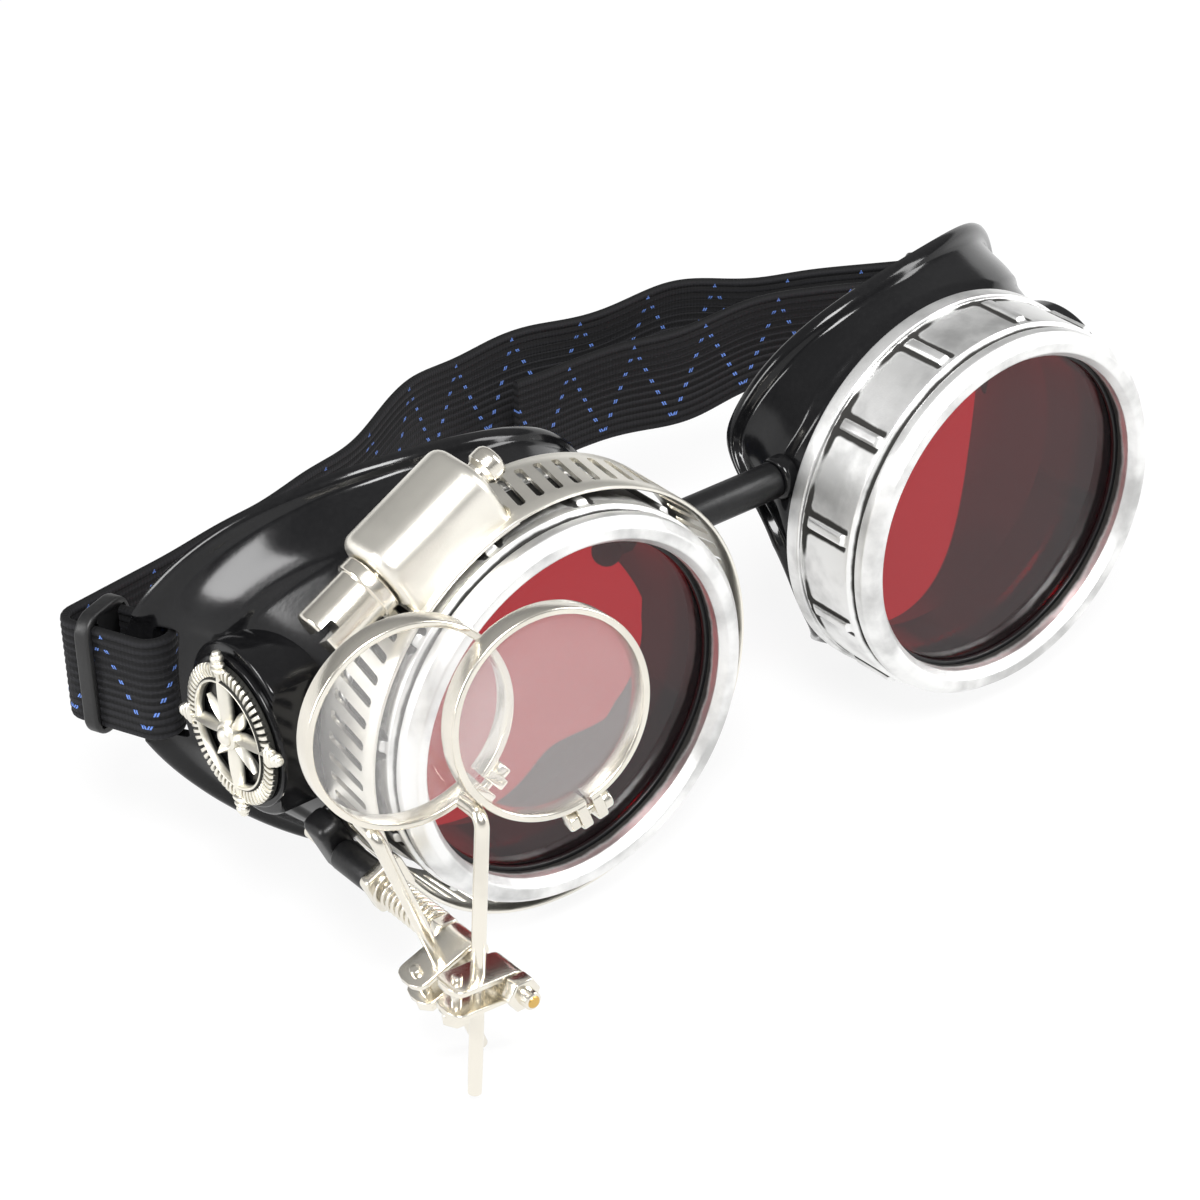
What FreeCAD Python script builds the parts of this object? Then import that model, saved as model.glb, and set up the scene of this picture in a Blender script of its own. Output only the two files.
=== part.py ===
"""Round-lens goggles with screw-on lens caps, a hose clamp and a swing-arm loupe.

Millimetres. The origin is the middle of the nose bridge, +X runs along the bridge to the
wearer's left, -Y is the way the lenses look and +Z is up.
"""
import FreeCAD
import Part
import Sketcher
import math
import os
from FreeCAD import Placement, Rotation, Vector

X_AXIS = Vector(1, 0, 0)
Y_AXIS = Vector(0, 1, 0)
Z_AXIS = Vector(0, 0, 1)
TURN = 2 * math.pi
LEFT, RIGHT = 1, -1
SIDE_NAMES = {LEFT: "left", RIGHT: "right"}

SIZES = {
    "The two cups": {
        "cup_spacing": 74.0, "axis_drop": 8.0, "bridge_back": 17.5,
    },
    "Lens cap": {
        "opening_r": 23.0, "lip_depth": 2.0, "bezel_rise": 1.3, "crest_inner_r": 23.9, "crest_outer_r": 25.3,
        "bezel_r": 26.5, "bezel_fillet": 0.6, "groove_r": 26.0, "groove_y": 2.0, "groove_half": 0.6,
        "cap_r": 26.9, "rim_r": 27.5, "rim_width": 2.4, "cap_depth": 14.0, "cap_bore_r": 25.9,
        "rib_count": 12, "rib_width": 1.6, "rib_front": 3.6, "rib_first_angle": 20.0,
    },
    "Lens and gasket": {
        "lens_r": 25.0, "lens_thick": 2.2, "gasket_inner_r": 22.5, "gasket_thick": 0.7, "seat_gap": 0.05,
    },
    "Eyecup": {
        "neck_clearance": 0.1, "cup_wall": 1.8, "neck_wall": 2.3, "shoulder_gap": 0.3, "shoulder_inset": 1.2,
        "waist_y": 24.0, "waist_wide": 27.7, "waist_tall": 29.3, "waist_shift": 2.0,
        "hip_y": 34.5, "hip_wide": 29.0, "hip_tall": 33.0, "hip_shift": 4.3,
        "flare_y": 47.0, "flare_wide": 31.8, "flare_tall": 37.4, "flare_shift": 9.4,
        "edge_back": 37.0, "edge_centre": 7.5, "edge_r": 38.6, "edge_slope": 11.9,
        "nose_floor": 15.6, "nose_r": 15.0, "nose_z": -9.0, "nose_end": 22.0, "nose_round": 10.0,
        "lip_out": 1.2, "lip_width": 2.2, "slot_y": 36.3, "slot_width": 4.2, "slot_room": 0.6,
    },
    "Vent boss and charm": {
        "boss_r": 11.6, "boss_y": 24.4, "boss_z": -0.2, "boss_proud": 0.3, "boss_step": 0.8, "vent_r": 10.2,
        "charm_gap": 0.05, "charm_ring_r": 9.5, "charm_ring_width": 2.3, "charm_thick": 1.4,
        "charm_hub_r": 1.9,
        "charm_knob_r": 1.25, "charm_petals": 8, "petal_width": 1.9, "charm_teeth": 32,
        "charm_pin_r": 0.8, "charm_pin_depth": 3.0,
    },
    "Bridge": {
        "tube_r": 2.5, "cord_r": 1.2, "cord_clearance": 0.1, "lug_r": 3.0, "lug_proud": 0.3, "lug_long": 3.2,
        "knot_r": 2.0, "tube_gap": 0.1,
    },
    "Hose clamp": {
        "band_r": 29.5, "band_thick": 0.6, "band_front": 3.6, "band_width": 11.2, "band_slack": 1.3,
        "band_slack_angle": -45.0, "slot_count": 64, "slot_long": 7.0, "slot_wide": 1.2, "slot_lean": 12.0,
        "housing_angle": 118.6, "housing_long": 17.0, "housing_wide": 11.4, "housing_tall": 8.6,
        "housing_round": 4.0,
        "housing_wall": 1.1, "saddle_span": 32.0, "saddle_thick": 0.8, "saddle_over": 1.0, "saddle_gap": 0.1,
        "worm_r": 3.2, "worm_gap": 0.3, "worm_clear": 0.06, "worm_tail": 4.0, "worm_tail_r": 2.3,
        "screw_head_r": 3.7, "screw_head_long": 7.6, "screw_collar_r": 4.2, "screw_collar_long": 2.0,
        "driver_slot": 1.5, "driver_depth": 2.8,
    },
    "Loupe rod and clip": {
        "rod_r": 1.2, "rod_x": 28.7, "rod_z": 14.25, "rod_front": 27.8, "rod_back": 18.2, "running": 0.05,
        "jaw_thick": 1.7, "jaw_gap": 0.3, "jaw_half": 3.0, "jaw_tip_r": 28.9, "jaw_top_r": 34.8,
        "collar_r": 2.3, "collar_long": 0.6, "sleeve_r": 2.1,
        "pad_front": 11.2, "pad_half": 4.6, "pad_in_r": 30.1, "pad_out_r": 33.8, "pad_round": 1.0,
        "hook_thick": 1.2, "hook_tip_r": 28.9, "hook_half": 3.6,
        "spring_r": 1.9, "wire_r": 0.3, "spring_turns": 9, "spring_long": 9.8,
        "nut_flats": 4.0, "nut_thick": 2.0, "stack_gap": 0.2,
    },
    "Loupe arms": {
        "bracket_wide": 5.0, "bracket_spacing": 2.6, "bracket_wall": 0.8, "bracket_reach": 8.4,
        "stem_offset": 3.5, "stem_r": 0.9,
        "bolt_offset": 6.6, "bolt_r": 0.75, "bolt_flats": 3.2, "bolt_head": 1.5,
        "stem_below": 15.4, "stem_corner": 23.6, "stem_bend": 1.8, "foot_back": 3.3, "foot_front": 1.4,
        "loupe_r": 13.1, "rim_wall": 0.9, "rim_long": 3.0, "attach_angle": 226.0,
        "loupe_lean": 7.5, "loupe_yaw": 7.5,
        "magnifier_thick": 4.0, "magnifier_edge": 1.8, "magnifier_gap": 0.05, "solder_gap": 0.02,
        "split_angle": 290.0, "split_gap": 0.8, "ear_thick": 1.4, "ear_tall": 2.9,
        "ear_screw_r": 0.6, "ear_head_r": 1.2,
        "inner_tilt": 19.5, "outer_tilt": -4.8,
    },
    "Strap and sliders": {
        "strap_wide": 15.0, "strap_thick": 1.3, "strand_gap": 5.8, "strap_lead": 113.0,
        "right_run": 15.6, "right_end": 4.6, "left_bend_run": 10.4, "left_bend": 2.6,
        "left_heading": 150.0, "left_main_run": 40.0, "left_tail_run": 24.0,
        "slider_long": 5.0, "slider_tall": 18.0, "slider_wall": 1.0, "slider_clear": 0.2, "slider_at": 7.4,
        "strap_turn": 2.2, "left_slider_at": 8.0,
    },
}

BOSS_FACE = "(max(waist_shift + waist_wide; hip_shift + hip_wide) + boss_proud)"
BOSS_ROOT = "(waist_wide - 2 * cup_wall)"
SHOULDER_R = "(rim_r - shoulder_inset)"
LUG_REACH = f"({SHOULDER_R} + lug_proud)"
PAD_BACK = "(band_front + band_width + jaw_gap + hook_thick)"
NECK_FRONT = "(lip_depth + gasket_thick + lens_thick + 3 * seat_gap)"
NECK_R = "(cap_bore_r - neck_clearance)"
SADDLE_WIDE = "(housing_wide + 2 * saddle_over)"

doc = FreeCAD.newDocument("Goggles")
sheet = doc.addObject("Spreadsheet::Sheet", "Sizes")


def fill_sheet():
    """Write each driving dimension to the sheet under its own alias."""
    row = 1
    for heading, group in SIZES.items():
        sheet.set(f"A{row}", heading)
        row += 1
        for alias, number in group.items():
            sheet.set(f"A{row}", alias)
            sheet.set(f"B{row}", str(number))
            sheet.setAlias(f"B{row}", alias)
            row += 1
    doc.recompute()


fill_sheet()


def size(formula):
    """Value in millimetres or degrees of a formula over the sheet's aliases."""
    return float(sheet.evalExpression(formula))


def bind(item, **formulas):
    """Tie properties of a document object to formulas over the sheet's aliases."""
    for name, formula in formulas.items():
        item.setExpression(name.replace("__", "."), formula)


def named(formula):
    """The formula with every sheet alias written as a reference from another object."""
    words = []
    spaced = formula.replace("max(", " max( ").replace("(", "( ").replace(")", " ) ").replace(";", " ; ")
    for word in spaced.split():
        words.append(f"Sizes.{word}" if word[0].isalpha() and word != "max(" else word)
    return " ".join(words)


def add(kind, name, placement=None, **formulas):
    """Add a document object with its sizes bound to the sheet."""
    item = doc.addObject(kind, name)
    if placement is not None:
        item.Placement = placement
    bind(item, **{key: named(formula) for key, formula in formulas.items()})
    return item


def cut(name, base, *tools, refine=True):
    """The base with each tool taken away in turn, with split faces merged where asked."""
    for number, tool in enumerate(tools):
        step = doc.addObject("Part::Cut", f"{name}_cut{number}")
        step.Base = base
        step.Tool = tool
        step.Refine = refine
        base = step
    return base


def fuse(name, *pieces, refine=True):
    """The pieces joined into one solid, with split faces merged where asked."""
    step = doc.addObject("Part::MultiFuse", f"{name}_fuse")
    step.Shapes = list(pieces)
    step.Refine = refine
    return step


def common(name, first, second):
    """The space that both pieces share."""
    step = doc.addObject("Part::Common", f"{name}_common")
    step.Base = first
    step.Tool = second
    step.Refine = False
    return step


def shaped(name, shape, placement=None):
    """A document object for a shape that has no matching feature."""
    item = doc.addObject("Part::Feature", name)
    item.Shape = shape
    if placement is not None:
        item.Placement = placement.multiply(shape.Placement)
    return item


NODES = {}


def node(label, item):
    """Name a finished sub-part."""
    item.Label = label
    NODES[label] = item
    return item


def plane_of(body, role):
    """The body's own origin plane or axis with this role."""
    return next(feature for feature in body.Origin.OriginFeatures if feature.Role == role)


def outline(body, name, corners):
    """A closed outline on the body's XY plane; each corner is a pair of formulas."""
    sketch = body.newObject("Sketcher::SketchObject", name)
    sketch.AttachmentSupport = [(plane_of(body, "XY_Plane"), "")]
    sketch.MapMode = "FlatFace"
    points = [Vector(size(across), size(along), 0) for across, along in corners]
    count = len(points)
    for number, point in enumerate(points):
        sketch.addGeometry(Part.LineSegment(point, points[(number + 1) % count]), False)
    for number in range(count):
        sketch.addConstraint(Sketcher.Constraint("Coincident", number, 2, (number + 1) % count, 1))
    for number, (point, corner) in enumerate(zip(points, corners)):
        for kind, place, formula in (("DistanceX", point.x, corner[0]), ("DistanceY", point.y, corner[1])):
            index = sketch.addConstraint(Sketcher.Constraint(kind, -1, 1, number, 1, place))
            sketch.setExpression(f"Constraints[{index}]", named(formula))
    return sketch


def revolved(name, corners):
    """A body turned about its Y axis from an outline of radius and depth formulas."""
    body = doc.addObject("PartDesign::Body", name)
    sketch = outline(body, f"{name}_outline", corners)
    turned = body.newObject("PartDesign::Revolution", f"{name}_turned")
    turned.Profile = sketch
    turned.ReferenceAxis = (sketch, ["V_Axis"])
    turned.Angle = 360
    doc.recompute()
    return body


def cup_place(side, forward=0.0):
    """Place of a cup's axis in the plane of its lens opening."""
    return Vector(side * size("cup_spacing / 2"), -size("bridge_back") - forward, -size("axis_drop"))


def along_y(base):
    """Placement that lays a primitive's own Z axis along +Y, with its X axis kept."""
    return Placement(base, Rotation(X_AXIS, -90))


def lens_cap(side):
    """Screw-on ring: rounded bezel, groove, ribbed skirt and raised rear rim."""
    name = SIDE_NAMES[side] + "_cap"
    corners = [
        ("opening_r", "lip_depth"), ("opening_r", "0"),
        ("crest_inner_r", "0 - bezel_rise"), ("crest_outer_r", "0 - bezel_rise"),
        ("bezel_r", "0.2"), ("bezel_r", "groove_y - groove_half"), ("groove_r", "groove_y"),
        ("cap_r", "groove_y + groove_half"), ("cap_r", "cap_depth - rim_width"),
        ("rim_r", "cap_depth - rim_width"), ("rim_r", "cap_depth"),
        ("cap_bore_r", "cap_depth"), ("cap_bore_r", "lip_depth"),
    ]
    body = revolved(name, corners)
    crest = body.newObject("PartDesign::Fillet", f"{name}_crest")
    turned = body.getObject(f"{name}_turned")
    ridge_radii = (size("crest_inner_r"), size("crest_outer_r"), size("bezel_r"))
    edges = []
    for number, edge in enumerate(turned.Shape.Edges, 1):
        round_edge = isinstance(edge.Curve, Part.Circle)
        if round_edge and edge.Curve.Center.y < size("0.3") and any(
            abs(edge.Curve.Radius - radius) < 1e-6 for radius in ridge_radii
        ):
            edges.append(f"Edge{number}")
    crest.Base = (turned, edges)
    crest.setExpression("Radius", "Sizes.bezel_fillet")
    doc.recompute()
    rib_outline = outline(body, f"{name}_rib_outline", [
        ("cap_r - 0.5", "rib_front"), ("rim_r", "rib_front"),
        ("rim_r", "cap_depth - rim_width / 2"), ("cap_r - 0.5", "cap_depth - rim_width / 2"),
    ])
    rib = body.newObject("PartDesign::Pad", f"{name}_rib")
    rib.Profile = rib_outline
    rib.Midplane = True
    rib.setExpression("Length", "Sizes.rib_width")
    doc.recompute()
    ribs = body.newObject("PartDesign::PolarPattern", f"{name}_ribs")
    ribs.Originals = [rib]
    ribs.Axis = (plane_of(body, "Y_Axis"), [""])
    ribs.Angle = 360
    ribs.setExpression("Occurrences", "Sizes.rib_count")
    body.Tip = ribs
    body.Placement = Placement(cup_place(side), Rotation(Y_AXIS, -size("rib_first_angle")))
    return node(name, body)


def lens_stack(side):
    """Rubber gasket behind the cap's lip, and the tinted lens behind the gasket."""
    name = SIDE_NAMES[side]
    front = size("lip_depth + seat_gap")
    gasket = revolved(f"{name}_gasket", [
        ("gasket_inner_r", "0"), (NECK_R, "0"), (NECK_R, "gasket_thick"), ("gasket_inner_r", "gasket_thick"),
    ])
    gasket.Placement = Placement(cup_place(side, -front), Rotation())
    node(f"{name}_gasket", gasket)
    lens_front = front + size("gasket_thick + seat_gap")
    place = along_y(cup_place(side, -lens_front))
    lens = add("Part::Cylinder", f"{name}_lens", place, Radius="lens_r", Height="lens_thick")
    node(f"{name}_lens", lens)


def oval(name, place, tall, wide):
    """Upright oval section; the ellipse feature takes only one that is at least as tall as it is wide."""
    if size(tall) >= size(wide):
        return add("Part::Ellipse", name, place, MajorRadius=tall, MinorRadius=wide)
    stretch = FreeCAD.Matrix()
    stretch.scale(size(tall), size(wide), 1)
    return shaped(name, Part.makeCircle(1).transformGeometry(stretch), place)


def loft_through(name, side, grow, shoulder_depth):
    """Flaring cup volume through its shoulder, waist, hip and flare sections, grown by an offset."""
    upright = Rotation(Vector(1, 1, 1), 240)
    round_place = Placement(cup_place(side, -size(shoulder_depth)), upright)
    sections = [add("Part::Circle", f"{name}_shoulder", round_place, Radius=f"{SHOULDER_R} + {grow}")]
    for label in ("waist", "hip", "flare"):
        base = cup_place(side, -size(f"{label}_y")) + Vector(side * size(f"{label}_shift"), 0, 0)
        tall, wide = f"{label}_tall + {grow}", f"{label}_wide + {grow}"
        sections.append(oval(f"{name}_{label}", Placement(base, upright), tall, wide))
    loft = doc.addObject("Part::Loft", f"{name}_loft")
    loft.Sections = sections
    loft.Solid = True
    return loft


def edge_cylinder(name, side, shrink):
    """Cylinder whose back gives the cup its curved, slanted face edge."""
    slope = math.radians(size("edge_slope"))
    axis = Vector(side * math.cos(slope), math.sin(slope), 0)
    height = size("2 * cup_spacing")
    middle = cup_place(side, -(size("edge_back") - size("edge_r"))) + Vector(side * size("edge_centre"), 0, 0)
    placement = Placement(middle - axis * (height / 2), Rotation(Z_AXIS, axis))
    return add("Part::Cylinder", name, placement, Radius=f"edge_r - {shrink}", Height="2 * cup_spacing")


def nose_relief(name, side, grow):
    """Room for the nose: round at the top, open below and behind, its corner towards the temple rounded."""
    deep, tall = "2 * flare_y", "4 * flare_tall"
    floor, end = f"nose_floor - {grow}", f"nose_end + {grow}"

    def slab(label, long, front, top):
        """A box from the middle plane outwards, from a depth to the back and from a height down."""
        middle = cup_place(side, -size(f"{front} + {deep} / 2"))
        centre = Vector(side * size(long) / 2, middle.y, middle.z + size(f"{top} - {tall} / 2"))
        return box_at(f"{name}_{label}", centre, Rotation(), long, deep, tall)

    axis = cup_place(side, -size("nose_floor + nose_r")) + Vector(0, 0, size("nose_z"))
    arch = add(
        "Part::Cylinder", f"{name}_arch",
        Placement(Vector(0, axis.y, axis.z), Rotation(Z_AXIS, X_AXIS * side)),
        Radius=f"nose_r + {grow}", Height=end,
    )
    below = slab("below", end, floor, "nose_z")
    behind = slab("behind", end, "nose_floor + nose_r", f"nose_z + nose_r + {grow}")
    turn = cup_place(side, -size("nose_floor + nose_round"))
    foot = Vector(side * size("nose_end - nose_round"), turn.y, -size(tall) / 2)
    corner = add(
        "Part::Cylinder", f"{name}_corner", Placement(foot, Rotation()),
        Radius=f"nose_round + {grow}", Height=tall,
    )
    flat = slab("flat", "nose_end - nose_round", floor, f"{tall} / 2")
    rear = slab("rear", end, "nose_floor + nose_round", f"{tall} / 2")
    upright = fuse(f"{name}_upright", arch, below, behind)
    return common(name, upright, fuse(f"{name}_plan", corner, flat, rear))


def box_at(name, centre, rotation, long, deep, tall):
    """A box centred on a point: formulas for its X, Y and Z lengths."""
    half = Vector(size(long) / 2, size(deep) / 2, size(tall) / 2)
    placement = Placement(centre - rotation.multVec(half), rotation)
    return add("Part::Box", name, placement, Length=long, Width=deep, Height=tall)


def eyecup(side):
    """Moulded shell: threaded neck, flaring wall, rolled face edge, strap slot, bridge lug and vent boss."""
    name = SIDE_NAMES[side] + "_eyecup"
    neck_front = size(NECK_FRONT)
    shoulder = "cap_depth + shoulder_gap"
    outer = loft_through(f"{name}_outer", side, "0", shoulder)
    inner = loft_through(f"{name}_inner", side, "0 - cup_wall", f"{shoulder} + cup_wall")
    lip = loft_through(f"{name}_lip", side, "lip_out", f"{shoulder} + shoulder_gap")
    edge = edge_cylinder(f"{name}_edge", side, "0")
    lip_edge = edge_cylinder(f"{name}_lip_edge", side, "lip_width")
    face = cut(f"{name}_face", edge, nose_relief(f"{name}_nose", side, "0"))
    face_in = cut(f"{name}_face_in", lip_edge, nose_relief(f"{name}_nose_lip", side, "lip_width"))
    neck = add(
        "Part::Cylinder", f"{name}_neck", along_y(cup_place(side, -neck_front)),
        Radius=NECK_R, Height=f"{shoulder} + cup_wall / 2 - {NECK_FRONT}",
    )
    bore = add(
        "Part::Cylinder", f"{name}_bore", along_y(cup_place(side, size("lens_thick") - neck_front)),
        Radius=f"{NECK_R} - neck_wall", Height=f"{shoulder} + 2 * cup_wall + lens_thick - {NECK_FRONT}",
    )
    outward = Rotation(Z_AXIS, X_AXIS * side)
    boss_centre = cup_place(side, -size("boss_y")) + Vector(side * size(BOSS_ROOT), 0, size("boss_z"))
    boss = add(
        "Part::Cylinder", f"{name}_boss", Placement(boss_centre, outward),
        Radius="boss_r", Height=f"{BOSS_FACE} - {BOSS_ROOT}",
    )
    boss_front = add(
        "Part::Cylinder", f"{name}_boss_front", along_y(cup_place(side)),
        Radius="band_r + band_slack + cup_wall / 4", Height="band_front + band_width + cup_wall",
    )
    boss_body = cut(f"{name}_boss_body", boss, boss_front)
    lug_centre = Vector(side * size(f"cup_spacing / 2 - {LUG_REACH}"), 0, 0)
    lug_place = Placement(lug_centre, outward)
    lug = add("Part::Cylinder", f"{name}_lug", lug_place, Radius="lug_r", Height="lug_long")
    lug_bore = add(
        "Part::Cylinder", f"{name}_lug_bore", Placement(lug_centre - X_AXIS * side, outward),
        Radius="cord_r + cord_clearance", Height="4 * lug_long",
    )
    slot_tall = "strap_wide + 2 * slot_room"
    side_x = Vector(side * size("flare_wide + flare_shift"), 0, 0)
    slot_centre = cup_place(side, -size("slot_y + slot_width / 2")) + side_x
    slot = box_at(f"{name}_slot", slot_centre, Rotation(), "flare_wide", "slot_width", slot_tall)
    bar_centre = cup_place(side, -size("flare_y - slot_room")) + side_x
    notch_deep = "flare_y - slot_y"
    bar_notch = box_at(f"{name}_bar_notch", bar_centre, Rotation(), "flare_wide", notch_deep, slot_tall)
    lip_band = cut(f"{name}_lip_band", lip, face_in, bar_notch, refine=False)
    blank = outer
    for label, piece in (("rolled", lip_band), ("necked", neck), ("bossed", boss_body), ("lugged", lug)):
        blank = fuse(f"{name}_{label}", blank, piece, refine=False)
    blank = common(f"{name}_blank", blank, face)
    tools = [inner, bore, slot, lug_bore]
    if side == RIGHT:
        hole_centre = boss_centre + X_AXIS * side * size(f"{BOSS_FACE} - {BOSS_ROOT} - charm_pin_depth")
        tools.append(add(
            "Part::Cylinder", f"{name}_pin_hole", Placement(hole_centre, outward),
            Radius="charm_pin_r + running", Height="2 * charm_pin_depth",
        ))
    return node(name, cut(name, blank, *tools, refine=False))


def vent_cap(side):
    """Round plug with a stepped rim that closes the side vent."""
    name = SIDE_NAMES[side] + "_vent_cap"
    face_x = size(f"{BOSS_FACE} + charm_gap")
    centre = cup_place(side, -size("boss_y")) + Vector(side * face_x, 0, size("boss_z"))
    outward = Rotation(Z_AXIS, X_AXIS * side)
    place = Placement(centre, outward)
    plate = add("Part::Cylinder", f"{name}_plate", place, Radius="vent_r", Height="boss_step")
    hole = add(
        "Part::Cylinder", f"{name}_hole", Placement(centre - X_AXIS * side, outward),
        Radius="charm_pin_r + running", Height="boss_step + 2",
    )
    return node(name, cut(name, plate, hole))


def charm():
    """Openwork compass rose: toothed ring, eight petals, a hub and a knob at each main point."""
    ring_r = size("charm_ring_r")
    inner_r = size("charm_ring_r - charm_ring_width")
    thick = size("charm_thick")
    ring = Part.makeCylinder(ring_r, thick).cut(Part.makeCylinder(inner_r, thick))
    teeth = int(size("charm_teeth"))
    groove = Part.makeBox(size("charm_ring_width"), size("charm_ring_width / 5"), thick / 2)
    grooves = []
    for number in range(teeth):
        turn = groove.copy()
        turn.Placement = Placement(Vector(), Rotation(Z_AXIS, 360 * (number + 0.5) / teeth)).multiply(
            Placement(Vector(inner_r + size("charm_ring_width / 4"), 0, thick * 0.7), Rotation()))
        grooves.append(turn)
    ring = ring.cut(Part.makeCompound(grooves))
    half_width = size("petal_width / 2")
    hub_r = size("charm_hub_r")
    petals = []
    count = int(size("charm_petals"))
    for number in range(count):
        tip = inner_r + size("charm_ring_width / 2")
        widest = hub_r + (tip - hub_r) * 0.55
        kite = Part.makePolygon([
            Vector(hub_r * 0.4, 0, 0), Vector(widest, half_width, 0), Vector(tip, 0, 0),
            Vector(widest, -half_width, 0), Vector(hub_r * 0.4, 0, 0),
        ])
        petal = Part.Face(kite).extrude(Vector(0, 0, thick * 0.8))
        petal.rotate(Vector(), Z_AXIS, 360 * number / count)
        petals.append(petal)
    hub = Part.makeCylinder(hub_r, thick * 1.3)
    knobs = []
    for number in range(4):
        knob_r = size("charm_knob_r")
        flat_back = -math.degrees(math.asin(thick / 2 / knob_r))
        knob_place = Vector(ring_r + knob_r * 0.7, 0, thick / 2)
        knob = Part.makeSphere(knob_r, knob_place, Z_AXIS, flat_back, 90)
        knob.rotate(Vector(), Z_AXIS, 90 * number)
        knobs.append(knob)
    rose = ring.fuse(petals + [hub] + knobs).removeSplitter()
    rose = rose.cut(Part.makeCylinder(size("charm_pin_r + running"), 4 * thick, Vector(0, 0, -thick)))
    face_x = size(f"{BOSS_FACE} + 2 * charm_gap + boss_step")
    centre = cup_place(RIGHT, -size("boss_y")) + Vector(RIGHT * face_x, 0, size("boss_z"))
    outward = Rotation(Z_AXIS, X_AXIS * RIGHT)
    spin = Rotation(Z_AXIS, 8)
    node("compass_charm", shaped("compass_charm", rose, Placement(centre, outward.multiply(spin))))
    pin_root = centre - X_AXIS * RIGHT * size("charm_pin_depth")
    shank = add(
        "Part::Cylinder", "charm_pin_shank", Placement(pin_root, outward),
        Radius="charm_pin_r", Height="charm_pin_depth + charm_thick * 1.3 + charm_gap",
    )
    head_base = centre + X_AXIS * RIGHT * size("charm_thick * 1.3 + charm_gap")
    head = add("Part::Sphere", "charm_pin_head", Placement(head_base, outward), Radius="charm_hub_r * 0.7")
    head.Angle1 = 0
    node("charm_pin", fuse("charm_pin", shank, head))


def bridge():
    """Rubber tube over a knotted cord that holds the two cups together."""
    half = f"(cup_spacing / 2 - {LUG_REACH} - tube_gap)"
    along_x = Rotation(Z_AXIS, X_AXIS)
    start = Vector(-size(half), 0, 0)
    place = Placement(start, along_x)
    skin = add("Part::Cylinder", "bridge_skin", place, Radius="tube_r", Height=f"2 * {half}")
    hole = add(
        "Part::Cylinder", "bridge_hole", Placement(start - X_AXIS, along_x),
        Radius="cord_r + cord_clearance", Height=f"2 * {half} + 2",
    )
    node("bridge_tube", cut("bridge_tube", skin, hole))
    reach = f"({half} + lug_long + 2 * cup_wall)"
    cord_place = Placement(Vector(-size(reach), 0, 0), along_x)
    cord = add("Part::Cylinder", "bridge_line", cord_place, Radius="cord_r", Height=f"2 * {reach}")
    knots = []
    for side in (LEFT, RIGHT):
        knot_place = Placement(Vector(side * size(f"{reach} + knot_r / 2"), 0, 0), Rotation())
        knots.append(add("Part::Sphere", f"bridge_knot_{SIDE_NAMES[side]}", knot_place, Radius="knot_r"))
    node("bridge_cord", fuse("bridge_cord", cord, *knots))


def clamp_centre():
    """Middle of the band, which hangs slack to one side of the cap's axis."""
    angle = math.radians(size("band_slack_angle"))
    slack = size("band_slack")
    return cup_place(RIGHT) + Vector(slack * math.cos(angle), 0, slack * math.sin(angle))


def clamp_frame(angle, depth):
    """Frame on the band: local X along the band, local Y to the back, local Z outwards."""
    turn = Rotation(Y_AXIS, 90 - angle)
    return Placement(clamp_centre() + Vector(0, depth, 0), turn)


def clamp_band():
    """Steel band with a row of slanted slots for the worm."""
    start = clamp_centre() + Vector(0, size("band_front"), 0)
    outer = add("Part::Cylinder", "band_outer", along_y(start), Radius="band_r", Height="band_width")
    inner_r = "band_r - band_thick"
    inner = add("Part::Cylinder", "band_inner", along_y(start), Radius=inner_r, Height="band_width")
    ring = cut("band_ring", outer, inner)
    count = int(size("slot_count"))
    depth = size("band_front + band_width / 2")
    slot = Part.makeBox(
        size("slot_wide"), size("slot_long"), size("4 * band_thick"),
        Vector(-size("slot_wide / 2"), -size("slot_long / 2"), size("band_r - 2.5 * band_thick")),
    )
    slot.rotate(Vector(), Z_AXIS, size("slot_lean"))
    slots = []
    for number in range(count):
        angle = 360 * number / count
        away = abs((angle - size("housing_angle") + 180) % 360 - 180)
        if away < size("saddle_span / 2"):
            continue
        turned = slot.copy()
        turned.Placement = clamp_frame(angle, depth).multiply(slot.Placement)
        slots.append(turned)
    slot_row = shaped("band_slots", Part.makeCompound(slots))
    node("clamp_band", cut("clamp_band", ring, slot_row))


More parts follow.
